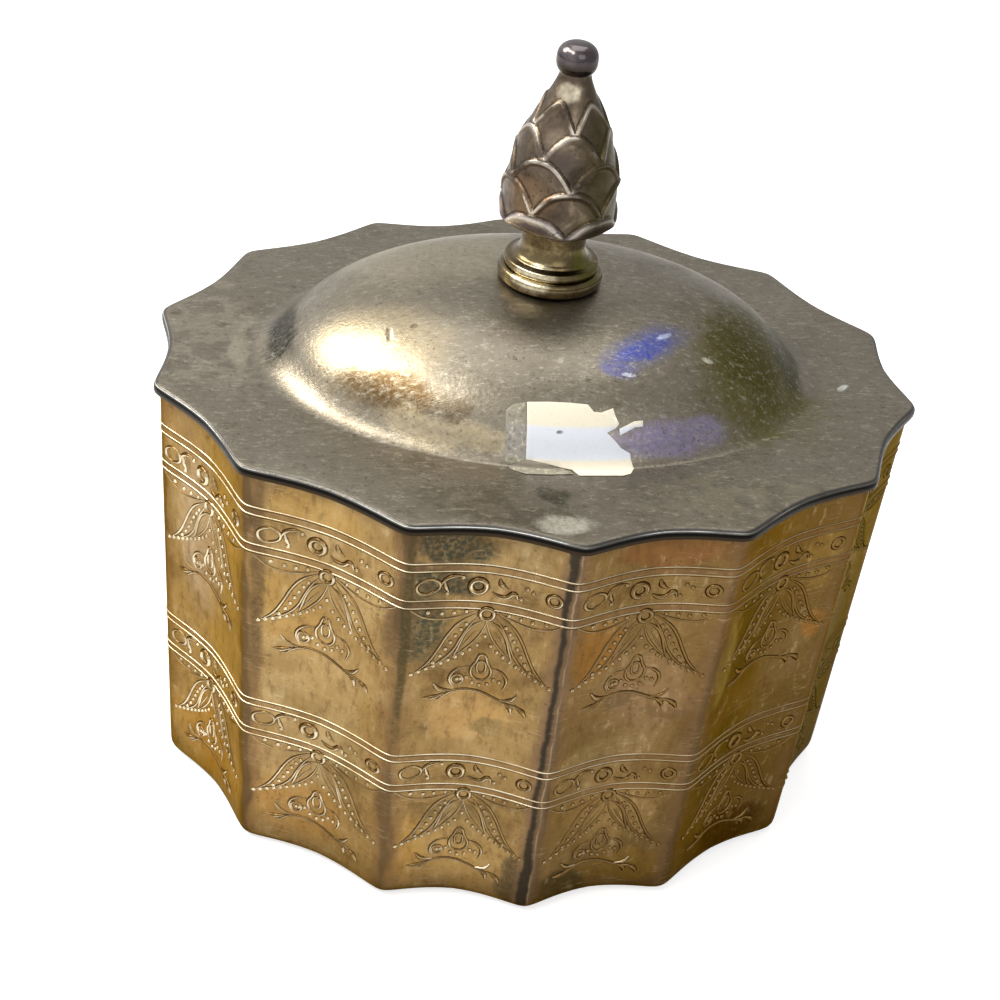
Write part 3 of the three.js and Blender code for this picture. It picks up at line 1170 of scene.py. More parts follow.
def spun(profile: Sequence[Pair], steps: int) -> bmesh.types.BMesh:
    """Spins a closed profile about the upright axis.

    Args:
        profile: Radius and height of each point.
        steps: Steps in one turn.

    Returns:
        The closed ring.
    """
    mesh = bmesh.new()
    vertices = [mesh.verts.new((radius, 0.0, height)) for radius, height in profile]
    follow = [*vertices[1:], vertices[0]]
    edges = [mesh.edges.new(pair) for pair in zip(vertices, follow)]
    bmesh.ops.spin(
        mesh,
        geom=[*vertices, *edges],
        cent=(0.0, 0.0, 0.0),
        axis=(0.0, 0.0, 1.0),
        angle=math.tau,
        steps=steps,
        use_merge=True,
    )
    bmesh.ops.remove_doubles(mesh, verts=list(mesh.verts), dist=1e-7)
    bmesh.ops.recalc_face_normals(mesh, faces=list(mesh.faces))
    return mesh


@dataclass
class FinialFoot:
    """The turned foot: a broad torus, a lesser bead, a hollow and a neck.

    Attributes:
        base: Height of its underside.
        top: Height of its upper end.
        squareness: How square the mouldings are, where 2 is round.
        fine_line: Depth of the fine lines cut round it.
        torus_steps: Steps up the torus.
        bead_steps: Steps up the bead, and up the hollow.
        spin_steps: Steps round the foot.
    """

    base: float
    top: float
    bore: float = 2.3 * MM
    torus_radius: float = 9.1 * MM
    torus_height: float = 2.8 * MM
    bead_radius: float = 8.3 * MM
    bead_height: float = 1.6 * MM
    neck_radius: float = 5.5 * MM
    neck_height: float = 3.4 * MM
    squareness: float = 2.7
    fine_line: float = 0.16 * MM
    torus_steps: int = 25
    bead_steps: int = 15
    spin_steps: int = 96

    def bulge(self, radius: float, low: float, height: float, steps: int) -> list[Pair]:
        """Returns a full moulding, squarer than a half round, with a fine line cut round it.

        Args:
            radius: Its outer radius.
            low: Height of its lower end.
            height: Its own height.
            steps: Steps from its lower to its upper end.

        Returns:
            Radius and height of each point.
        """
        half = height / 2
        power = 2 / self.squareness
        points = []
        for step in range(steps + 1):
            angle = math.pi * (step / steps - 0.5)
            out, up = math.cos(angle) ** power, math.copysign(abs(math.sin(angle)) ** power, angle)
            cut = self.fine_line if step == steps * 3 // 5 else 0.0
            points.append((radius - half + half * out - cut, low + half * (1 + up)))
        return points

    def hollow(self, low: float, high: float, steps: int) -> list[Pair]:
        """Returns the hollow between the bead and the neck, with one fine ridge on it."""
        reach = self.bead_radius - self.bead_height / 2 - self.neck_radius
        points = []
        for step in range(steps + 1):
            angle = math.pi / 2 * step / steps
            ridge = self.fine_line if step == steps // 3 else 0.0
            radius = self.neck_radius + reach * (1 - math.sin(angle)) + ridge
            points.append((radius, high - (high - low) * math.cos(angle)))
        return points

    def build(self) -> bpy.types.Object:
        """Spins the foot."""
        bead_base = self.base + self.torus_height
        hollow_base = bead_base + self.bead_height
        neck_base = self.top - self.neck_height
        profile = [
            (self.bore, self.base),
            *self.bulge(self.torus_radius, self.base, self.torus_height, self.torus_steps),
            *self.bulge(self.bead_radius, bead_base, self.bead_height, self.bead_steps),
            *self.hollow(hollow_base, neck_base, self.bead_steps),
            (self.neck_radius, lerp(neck_base, self.top, 0.5)),
            (self.neck_radius, self.top),
            (self.bore, self.top),
        ]
        return piece_of(spun(profile, self.spin_steps), "turned_foot")


@dataclass
class ScaledCone:
    """The cast cone: rows of scales with raised lips, a plain shoulder, a neck and a ball.

    Attributes:
        base: Height of its underside.
        taper: How long the belly keeps its width.
        tip: Height of the tips of the first row, had it the pitch of the others.
        low_tip: Height of the tips of the first row, which is shorter.
        drop: How far an edge falls from its tip to where it meets the next one.
        blunt: How round the first and the last row of edges are.
        lip_width: Width of the raised lip along an edge.
        lip_uneven: How much the height of the lips varies, by waves round each row.
        lip_shows: Mark from which a lip keeps its own mark beside the row below.
        face_rise: How far a scale stands over the next row where it ends.
        ball_mark: Mark on the ball.
        tip_bore: Radius of the middle of the blind hole's end, against the hole's.
    """

    base: float
    height: float = 25.6 * MM
    belly: float = 9.6 * MM
    taper: float = 2.7
    shoulder: float = 1.45
    undercut: float = 0.8 * MM
    undercut_height: float = 1.2 * MM
    neck: float = 2.6 * MM
    ball_radius: float = 3.45 * MM
    ball_half_height: float = 2.85 * MM
    ball_squareness: float = 2.5
    bore: float = 2.3 * MM
    bore_depth: float = 9.3 * MM
    scales: int = 5
    rows: int = 5
    pitch: float = 4.4 * MM
    tip: float = 4.3 * MM
    drop: float = 4.0 * MM
    low_tip: float = 3.7 * MM
    low_drop: float = 2.9 * MM
    blunt: Pair = (2.7, 1.9)
    lip_width: float = 0.95 * MM
    low_lip_width: float = 2.0 * MM
    lip_height: float = 0.42 * MM
    lip_crest: float = 0.34
    lip_reach: float = 1.6
    lip_uneven: float = 0.22
    lip_waves: int = 4
    lip_wave_shift: float = 0.37
    lip_shows: float = 0.3
    face_rise: float = 0.22 * MM
    step_width: float = 0.22 * MM
    shadow_width: float = 0.6 * MM
    ball_mark: float = 2.0
    tip_bore: float = 0.1
    columns: int = 240
    levels: int = 150
    ball_rows: int = 16

    def radius(self, height: float) -> float:
        """Returns the plain radius at a height over the base."""
        share = min(height / self.height, 1.0)
        swell = (1 - share**self.taper) ** self.shoulder
        under = max(0.0, 1 - height / self.undercut_height)
        return self.neck + (self.belly - self.neck) * swell - self.undercut * under * under

    def edge(self, row: int, turn: float) -> float:
        """Returns the height of the rounded edge of a row at a share of a turn."""
        place = turn * self.scales + ((row + 1) % 2) / 2
        aside = abs(place - round(place)) * 2
        blunt = lerp(*self.blunt, row / (self.rows - 1))
        if row == 0:
            return self.low_tip - self.low_drop * aside**blunt
        return self.tip + row * self.pitch - self.drop * aside**blunt

    def off_edge(self, row: int, turn: float, height: float) -> float:
        """Returns how far a point lies under the edge of a row, square to the edge."""
        nudge = 0.1 / self.columns
        rise = self.edge(row, turn + nudge) - self.edge(row, turn - nudge)
        slope = rise / (2 * nudge * math.tau * self.radius(height))
        return (self.edge(row, turn) - height) / math.hypot(1.0, slope)

    def lip(self, under: float, width: float) -> float:
        """Gives the rise of a raised lip, steep outside its crest and gentle inside.

        Args:
            under: Distance from the edge of the scale.
            width: Width of the lip.

        Returns:
            The rise, as a share of the lip's height.
        """
        across = under / width
        if across < self.lip_crest:
            return math.sin(across / self.lip_crest * math.pi / 2)
        fall = (across - self.lip_crest) / (self.lip_reach - self.lip_crest)
        return 0.5 + 0.5 * math.cos(math.pi * min(fall, 1.0))

    def relief(self, turn: float, height: float) -> Pair:
        """Gives the relief of the scales on the plain cone.

        Args:
            turn: Share of a turn.
            height: Height over the base.

        Returns:
            How far the surface stands out, and its mark: above 0 on a lip, below 0 beside one, where
            the finish paints a shadow.
        """
        row = next((r for r in range(self.rows) if self.edge(r, turn) >= height), self.rows)
        proud, mark = 0.0, 0.0
        if row < self.rows:
            under = self.off_edge(row, turn, height)
            width = self.low_lip_width if row == 0 else self.lip_width
            proud += self.face_rise * max(0.0, 1 - under / self.pitch)
            mark = self.lip(under, width)
            wave = math.sin(math.tau * (self.lip_waves * turn + self.lip_wave_shift * row))
            proud += self.lip_height * (1 + self.lip_uneven * wave) * mark
        if row > 0:
            over = -self.off_edge(row - 1, turn, height)
            proud += self.face_rise * max(0.0, 1 - over / self.step_width)
            if mark < self.lip_shows:
                mark = min(mark, -max(0.0, 1 - over / self.shadow_width))
        return proud * self.radius(height) / self.belly, mark

    def turns(self) -> list[float]:
        """Returns the share of a turn of each column."""
        return [column / self.columns for column in range(self.columns)]

    def ring(self, radii: Iterable[float], height: float) -> list[Vector]:
        """Returns a level ring with a radius for each column."""
        ring = []
        for turn, radius in zip(self.turns(), radii):
            bearing = math.tau * turn - math.pi / 2
            ring.append(Vector((radius * math.cos(bearing), radius * math.sin(bearing), height)))
        return ring

    def circle(self, radius: float, height: float) -> list[Vector]:
        """Returns a level ring of one radius."""
        return self.ring([radius] * self.columns, height)

    def build(self) -> bpy.types.Object:
        """Grows the cone from its blind hole to the top of its ball."""
        ceiling = self.base + self.bore_depth
        skin = Skin(self.circle(self.bore * self.tip_bore, ceiling))
        skin.grow(self.circle(self.bore, ceiling))
        skin.grow(self.circle(self.bore, self.base))
        for level in range(self.levels + 1):
            height = self.height * level / self.levels
            scales = [self.relief(turn, height) for turn in self.turns()]
            plain = self.radius(height)
            radii = [plain + proud for proud, _ in scales]
            skin.grow(self.ring(radii, self.base + height), [mark for _, mark in scales])
        power = 2 / self.ball_squareness
        start = math.asin((self.neck / self.ball_radius) ** (1 / power))
        middle = self.base + self.height + self.ball_half_height * math.cos(start) ** power
        for row in range(1, self.ball_rows):
            angle = lerp(start, math.pi, row / self.ball_rows)
            up = math.copysign(abs(math.cos(angle)) ** power, math.cos(angle))
            radius = self.ball_radius * math.sin(angle) ** power
            skin.grow(self.circle(radius, middle - self.ball_half_height * up), self.ball_mark)
        skin.close(0)
        skin.close(-1)
        skin.face_out(self.base + self.height / 2)
        return piece_of(skin.mesh, "scaled_cone")


# Engraving


@dataclass(frozen=True)
class Stroke:
    """One cut of the graver, through points across and down, in millimetres.

    Attributes:
        points: The points that it runs through.
        weight: How broad it is in its middle, against a common stroke.
        closed: Whether it runs round; an open one tapers to its ends.
        end_taper: How broad an open one is at its ends, against its middle.
    """

    points: tuple[Pair, ...]
    weight: float = 1.0
    closed: bool = False
    end_taper: float = 0.4

    def breadths(self) -> list[float]:
        """Returns how broad the stroke is at each of its points."""
        last = len(self.points) - 1
        if self.closed:
            return [self.weight] * (last + 1)
        ends = (0, last)
        return [
            self.weight * (self.end_taper if index in ends else 1.0) for index in range(last + 1)
        ]

    def mirrored(self) -> "Stroke":
        """Returns the same cut on the other side of the middle."""
        return Stroke(tuple((-x, y) for x, y in self.points), self.weight, self.closed)

    def moved(self, across: float, down: float) -> "Stroke":
        """Returns the same cut somewhere else."""
        points = tuple((x + across, y + down) for x, y in self.points)
        return Stroke(points, self.weight, self.closed)


def round_cut(across: float, down: float, radius: float, weight: float = 1.0) -> Stroke:
    """Returns a round cut about a point."""
    corners = ((radius, 0.0), (0.0, radius), (-radius, 0.0), (0.0, -radius))
    return Stroke(tuple((across + x, down + y) for x, y in corners), weight, True)


@dataclass(frozen=True)
class Motif:
    """Strokes and punched beads that are cut together on each flute."""

    strokes: tuple[Stroke, ...]
    beads: tuple[Pair, ...]


def both_sides(strokes: Iterable[Stroke]) -> list[Stroke]:
    """Returns strokes with their mirror images."""
    return [copy for stroke in strokes for copy in (stroke, stroke.mirrored())]


def bead_row(top: float, fall: float, reach: float, count: int) -> list[Pair]:
    """Returns places for a row of beads that runs out from the middle and falls, fast at first."""
    shares = [index / count for index in range(1, count + 1)]
    return [(reach * share, top + fall * share**0.62) for share in shares]


def swag() -> Motif:
    """Returns the hanging swag of leaves, bead rows, a drop and a twig."""
    side = (
        Stroke(((1.7, 0.5), (4.4, 1.7), (7.4, 2.3), (10.0, 1.9), (12.4, 0.3)), 0.9),
        Stroke(((-0.1, 2.6), (1.0, 5.6), (2.9, 8.2), (5.0, 10.3))),
        Stroke(((0.6, 2.5), (2.2, 3.6), (3.4, 5.4), (4.3, 8.2), (5.0, 10.3)), 1.2),
        Stroke(((1.5, 4.6), (2.8, 6.6), (3.9, 8.4)), 0.8),
        Stroke(((1.5, 0.9), (4.5, 3.1), (6.1, 5.4), (7.5, 8.5), (9.0, 11.3), (10.9, 13.3)), 1.2),
        Stroke(((1.5, 1.8), (2.8, 3.7), (4.0, 6.2), (5.1, 8.8), (7.3, 11.3), (10.9, 13.3)), 1.1),
    )
    drop = ((0.0, 9.5), (1.0, 11.2), (1.75, 13.0), (1.1, 14.6), (0.0, 15.0))
    twig = ((-6.9, 19.5), (-5.3, 18.0), (-3.6, 17.3), (-0.6, 17.3))
    twig_end = ((2.4, 18.3), (5.0, 19.3), (7.0, 19.5), (8.5, 21.1))
    inner = ((0.0, 10.9), (0.75, 12.6), (0.0, 13.5), (-0.75, 12.6))
    middle = (
        round_cut(-0.1, 1.1, 1.15, 1.8),
        Stroke((*drop, *((-x, y) for x, y in reversed(drop[1:-1]))), 1.2, True),
        Stroke(inner, 1.0, True),
        round_cut(-3.9, 15.0, 1.0, 1.1),
        Stroke(((-1.8, 12.1), (-4.1, 12.9), (-5.2, 14.9), (-4.5, 16.6)), 1.3),
        Stroke(((1.8, 12.2), (3.4, 12.7), (4.5, 14.2), (4.0, 16.5)), 1.3),
        Stroke((*twig, *twig_end), 1.3),
        Stroke(((-7.8, 15.8), (-6.6, 17.2), (-4.6, 17.4)), 2.0),
        Stroke(((-9.2, 18.9), (-7.6, 18.9), (-5.8, 18.1)), 2.2),
        Stroke(((3.6, 18.7), (5.5, 18.3), (6.5, 17.0)), 1.6),
        Stroke(((4.6, 19.2), (5.6, 19.8), (5.9, 20.9)), 2.2),
        Stroke(((6.4, 19.3), (7.7, 20.0), (8.4, 21.1)), 2.2),
    )
    leaf = [(3.5, 0.8), (5.5, 1.1), (7.4, 1.2), (9.6, 0.9)]
    outer = [(3.3, 3.4), (4.1, 4.5), (4.9, 5.8), (5.6, 7.2), (6.3, 8.6), (7.1, 10.0), (8.1, 11.4)]
    sides = [*leaf, *outer, *bead_row(5.7, 8.0, 11.4, 10), (1.3, 15.7), (2.3, 14.6), (3.3, 14.9)]
    beads = [(0.0, 5.7), (0.0, 16.1), (-3.9, 15.0), *sides, *((-x, y) for x, y in sides)]
    return Motif((*both_sides(side), *middle), tuple(beads))


def frieze() -> Motif:
    """Returns the row of sprigs and rings between the border lines."""
    almond = ((0.4, 0.0), (-0.5, -1.2), (-2.5, -0.9), (-3.2, 0.3), (-2.5, 1.4), (-1.1, 1.4))
    sprig = (
        Stroke(almond, 1.2, True),
        Stroke(((0.4, 0.0), (1.1, -1.2), (2.5, -1.9), (3.8, -1.9)), 1.7),
        Stroke(((1.0, -0.9), (1.3, 0.3), (1.8, 1.3)), 1.7),
    )
    crescent = (
        Stroke(((-2.5, -1.8), (-2.2, -0.8), (-1.0, 0.1)), 2.2),
        Stroke(((-3.6, 1.0), (-2.4, 1.7), (-1.1, 1.6), (0.1, 0.7), (0.7, 1.7)), 1.9),
    )
    left, right = -8.5, 3.9
    strokes = [*(cut.moved(left, 0.0) for cut in sprig), *(cut.moved(right, 0.0) for cut in crescent)]
    rings = (round_cut(-2.0, 0.0, 1.3, 2.2), round_cut(10.3, 0.3, 1.05, 1.5))
    sprig_beads = [(left + 3.9, -1.6), (left + 1.6, 1.6)]
    beads = [*sprig_beads, (right + 1.2, 1.5), (right + 2.0, -0.7), (right + 3.0, -0.2)]
    return Motif((*strokes, *rings), tuple(beads))


@dataclass
class Engraver:
    """Cuts motifs and border lines on the wall as fine raised work.

    Attributes:
        wall: The wall that is engraved.
        half_width: Half the width of a stroke.
        flatness: Height of a stroke as a share of its half width.
        bead_radius: Radius of a punched bead.
        bead_lift: How much more painted highlight the beads get, as raised_work takes it.
        motif_width: Width of the flute that the motifs are drawn for.
        seed: Start of the random draws that make each copy a little different.
        stretches: Least and greatest stretch across a flute.
        shift: Greatest shift across, in millimetres.
        sink: Greatest shift up or down, in millimetres.
        lean: Greatest slope.
        line_heights: Heights of the border lines, in millimetres.
        line_section: Points of a line's section: height in half widths, and if it is the crest.
        line_crest: Height of its crest, against a stroke's.
        line_root: How deep its foot lies in the wall.
    """

    wall: FlutedWall
    half_width: float = 0.28 * MM
    flatness: float = 0.7
    bead_radius: float = 0.46 * MM
    bead_lift: float = 0.3
    motif_width: float = 27.0 * MM
    seed: int = 14
    stretches: Pair = (0.96, 1.02)
    shift: float = 0.35
    sink: float = 0.25
    lean: float = 0.02
    frieze_heights: tuple[float, ...] = (71.2 * MM, 30.9 * MM)
    swag_heights: tuple[float, ...] = (66.8 * MM, 26.7 * MM)
    line_heights: tuple[float, ...] = (75.6, 74.1, 68.3, 66.8, 35.0, 33.6, 28.1, 26.7)
    line_section: tuple[tuple[float, bool], ...] = ((-1.6, False), (0.0, True), (0.7, False))
    line_crest: float = 0.7
    line_root: float = 0.05 * MM

    def stroke_mesh(self, motif: Motif) -> bpy.types.Mesh:
        """Draws the strokes of a motif as flat bevelled curves.

        Args:
            motif: The motif.

        Returns:
            A mesh with X across, Y down and Z out of the wall.
        """
        curve = bpy.data.curves.new("graver", "CURVE")
        curve.dimensions = "2D"
        curve.fill_mode = "NONE"
        curve.bevel_depth = self.half_width
        curve.bevel_resolution = 0
        curve.resolution_u = 4
        curve.use_fill_caps = True
        for stroke in motif.strokes:
            spline = curve.splines.new("BEZIER")
            spline.bezier_points.add(len(stroke.points) - 1)
            spline.use_cyclic_u = stroke.closed
            knots = zip(spline.bezier_points, stroke.points, stroke.breadths())
            for knot, (across, down), broad in knots:
                knot.co = (across * MM, down * MM, 0.0)
                knot.radius = broad
                knot.handle_left_type = knot.handle_right_type = "AUTO"
        drawn = stand("graver", curve)
        depsgraph = bpy.context.evaluated_depsgraph_get()
        mesh = bpy.data.meshes.new_from_object(drawn.evaluated_get(depsgraph))
        bpy.data.objects.remove(drawn)
        bpy.data.curves.remove(curve)
        return mesh

    def bead_mesh(self, motif: Motif) -> bpy.types.Mesh:
        """Sets out the beads of a motif as small flat domes."""
        mesh = bmesh.new()
        for across, down in motif.beads:
            place = Matrix.Translation((across * MM, down * MM, 0.0))
            bmesh.ops.create_icosphere(mesh, subdivisions=1, radius=self.bead_radius, matrix=place)
        return mesh_data(mesh, "beads")

    def spread(
        self, template: bpy.types.Mesh, heights: Sequence[float], name: str, lift: float = 0.0
    ) -> bpy.types.Object:
        """Lays a copy of a template on each flute at each height.

        Args:
            template: The mesh to copy, which is removed afterwards.
            heights: Heights of the copies' upper edge.
            name: Name of the piece.
            lift: How much more painted highlight it gets, as raised_work takes it.

        Returns:
            The piece.
        """
        draw = random.Random(self.seed)
        mesh = bmesh.new()
        for height in heights:
            for flute, width in enumerate(self.wall.outline.widths):
                stretch = width / self.motif_width * draw.uniform(*self.stretches)
                shift = draw.uniform(-self.shift, self.shift) * MM
                sink = draw.uniform(-self.sink, self.sink) * MM
                lean = draw.uniform(-self.lean, self.lean)
                first = len(mesh.verts)
                mesh.from_mesh(template)
                mesh.verts.ensure_lookup_table()
                for vertex in mesh.verts[first:]:
                    across, down, out = vertex.co
                    level = height - down - sink - across * lean
                    aside = across * stretch + shift
                    vertex.co = self.wall.surface(flute, aside, level, out * self.flatness)
        bpy.data.meshes.remove(template)
        return raised_work(mesh, name, lift)

    def lines(self) -> bpy.types.Object:
        """Runs the border lines round the wall, steep above their crest and gentle below."""
        crest = self.half_width * self.flatness * self.line_crest
        mesh = bmesh.new()
        for line in self.line_heights:
            rings = []
            for share, on_crest in self.line_section:
                level = line * MM + self.half_width * share
                proud = crest if on_crest else -self.line_root
                rings.append(self.wall.outline.ring(self.wall.outset(level) + proud, level))
            skin = Skin(rings[0])
            for ring in rings[1:]:
                skin.grow(ring)
            skin.join_ends()
            skin.mesh.verts.layers.float.remove(skin.marks)
            data = mesh_data(skin.mesh, "line")
            mesh.from_mesh(data)
            bpy.data.meshes.remove(data)
        return raised_work(mesh, "border_lines")


# Label


@dataclass
class LabelRemnant:
    """The blank remnant of a paper label, stuck over the foot of the dome.

    Attributes:
        lid: The lid that it sticks to.
        over: How far its underside lies over the lid.
        sheet: Its thickness.
        rounding: Width of the eased cut edges.
        grid: Greatest size of its faces.
        sky: Height from which it is laid down.
        paper: Outline of the torn paper seen from above, in millimetres.
        residue: Outline of the film of glue beside it.
        strip: Outline of the film along its lower edge.
        fold: Outline of the raised shred at its right.
    """

    lid: bpy.types.Object
    over: float = 0.05 * MM
    sheet: float = 0.09 * MM
    rounding: float = 0.02 * MM
    grid: float = 0.7 * MM
    sky: float = 0.2
    paper: tuple[Pair, ...] = (
        (-6.7, -29.7), (3.2, -30.0), (4.2, -30.8), (5.4, -30.8), (7.4, -30.1),
        (7.9, -31.1), (8.4, -31.7), (7.9, -32.2), (6.4, -32.8), (7.6, -33.3),
        (8.8, -33.8), (10.4, -34.0), (11.1, -35.7), (10.3, -37.2), (8.9, -37.8),
        (1.7, -38.1), (0.8, -36.5), (-2.5, -35.8), (-6.7, -35.1),
    )
    residue: tuple[Pair, ...] = (
        (-10.1, -30.4), (-8.9, -29.8), (-6.9, -29.7),
        (-6.9, -35.2), (-9.6, -35.5), (-10.1, -34.9),
    )
    strip: tuple[Pair, ...] = (
        (-9.7, -35.8), (-5.9, -36.4), (-2.5, -36.5), (0.4, -36.9),
        (0.8, -37.7), (-3.0, -38.0), (-6.9, -38.0), (-9.1, -36.8),
    )
    fold: tuple[Pair, ...] = (
        (8.5, -32.2), (9.5, -31.8), (11.0, -31.1), (12.5, -30.8),
        (12.5, -31.4), (11.1, -31.7), (9.6, -32.4), (8.6, -32.8),
    )

    def build(self, name: str, outline: Sequence[Pair]) -> bpy.types.Object:
        """Cuts a flat sheet to an outline and lays it on the lid.

        Args:
            name: Name of the piece.
            outline: Its outline seen from above, in millimetres.

        Returns:
            The piece.
        """
        mesh = bmesh.new()
        mesh.faces.new([mesh.verts.new((x * MM, y * MM, 0.0)) for x, y in outline])
        for axis in (0, 1):
            low = min(corner[axis] for corner in outline) * MM
            high = max(corner[axis] for corner in outline) * MM
            normal = Vector((1 - axis, axis, 0.0))
            for cut in range(1, int((high - low) / self.grid)):
                everything = [*mesh.verts, *mesh.edges, *mesh.faces]
                place = normal * (low + cut * self.grid)
                bmesh.ops.bisect_plane(mesh, geom=everything, plane_co=place, plane_no=normal)
        tree = BVHTree.FromObject(self.lid, bpy.context.evaluated_depsgraph_get())
        for vertex in mesh.verts:
            above = Vector((vertex.co.x, vertex.co.y, self.sky))
            hit, normal, _, _ = tree.ray_cast(above, Vector((0.0, 0.0, -1.0)))
            vertex.co = hit + normal * (self.over + self.sheet)
        bmesh.ops.recalc_face_normals(mesh, faces=list(mesh.faces))
        if sum(face.normal.z for face in mesh.faces) < 0:
            bmesh.ops.reverse_faces(mesh, faces=list(mesh.faces))
        return sheet_of(mesh, name, self.sheet, self.rounding)


# Finishes


def patch_table(*rows: tuple) -> tuple[Patch, ...]:
    """Returns patches from rows of middle, reach, display colour and the fields after it."""
    return tuple(Patch(middle, reach, shade(*colour), *rest) for middle, reach, colour, *rest in rows)


# Rows of middle, reach, colour, strength, grain, softness, warp and turn, as Patch has them.
WALL_PATCHES = patch_table(
    ((-40, -42, 78.5), (13, 12, 5), (190, 154, 88), 0.6, 200, 0.6, 3),
    ((-41, -40.5, 12), (14, 12, 12), (176, 132, 70), 0.55, 150, 0.7, 5),
    ((-38, -41.5, 45), (9, 12, 10), (192, 162, 112), 0.45, 150, 0.7, 5),
    ((-58.8, -21, 58), (8, 16, 24), (186, 164, 138), 0.7, 200, 0.9, 4),
    ((-57, -23, 14), (9, 14, 14), (172, 124, 64), 0.55, 200, 0.9, 5),
    ((-22.5, -50, 12), (6, 12, 12), (196, 154, 82), 0.6, 150, 0.7, 4),
    ((-14, -51, 44), (11, 12, 9), (200, 162, 106), 0.55, 130, 0.7, 5),
    ((-10.5, -52, 42), (5.5, 12, 3), (112, 102, 68), 0.6, 130, 0.6, 6),
    ((-13, -51, 74), (7, 12, 9), (190, 158, 108), 0.45, 150, 0.7, 4),
    ((-19.5, -51.4, 79), (12.5, 12, 5.6), (66, 66, 54), 1, 420, 0.8, 3),
    ((-20.5, -51.4, 72.2), (11, 12, 5), (72, 70, 56), 1, 420, 0.8, 3),
    ((-24.2, -51.4, 62.5), (7.5, 12, 12), (76, 74, 58), 1, 420, 0.8, 3),
    ((-13.5, -51, 20), (8, 12, 6), (130, 112, 76), 0.5, 150, 0.7, 5),
    ((-12, -51.5, 12), (12, 12, 14), (206, 172, 112), 0.5, 200, 0.9, 5),
    ((-3, -54.5, 7), (4.5, 8, 10), (74, 68, 56), 0.75, 200, 0.5, 3),
)
SHADED_PATCHES = patch_table(
    ((15, -51.4, 78.5), (15, 12, 4.5), (136, 90, 54), 0.7, 200, 0.6, 3),
    ((5, -54, 60), (6, 12, 10), (156, 106, 46), 0.7, 150, 0.6, 3),
    ((16, -51, 49), (12, 12, 13), (150, 120, 88), 0.65, 150, 0.7, 5),
    ((10.5, -52.5, 48), (4.5, 12, 3.6), (98, 78, 54), 0.6, 130, 0.7, 4, 20),
    ((19.5, -51, 44.5), (6, 12, 3), (104, 82, 54), 0.6, 130, 0.7, 5),
    ((13, -51, 22), (13, 12, 13), (178, 144, 90), 0.6, 200, 0.9, 5),
    ((18, -51, 7), (13, 12, 6.5), (142, 110, 44), 0.7, 150, 0.6, 3),
    ((5.5, -53, 4.5), (8, 12, 7), (66, 66, 50), 0.85, 200, 0.5, 3),
    ((28.8, -50, 54), (2.4, 8, 16), (164, 146, 88), 0.6, 200, 0.5, 1),
    ((34, -46, 60), (5.5, 12, 20), (88, 76, 40), 0.7, 150, 0.6, 3),
    ((33, -46, 28), (6, 12, 18), (94, 80, 42), 0.6, 150, 0.6, 3),
    ((42, -40.5, 50), (9, 12, 12), (140, 114, 80), 0.45, 150, 0.9, 4),
    ((47, -38, 54), (3.5, 12, 5), (162, 110, 52), 0.7, 200, 0.5, 2),
    ((46, -38.5, 69), (6, 12, 9), (150, 120, 64), 0.6, 200, 0.6, 3),
    ((40, -40, 6.5), (11, 14, 9), (70, 46, 22), 0.85, 150, 0.6, 3),
)
EDGE_PATCHES = patch_table(
    ((-25.6, -51.6, 62), (1.3, 6, 34), (74, 68, 46), 0.85, 300, 0.9, 0.5),
    ((-49, -38.8, 60), (2, 6, 34), (98, 80, 58), 0.75, 300, 0.9, 0.5),
)
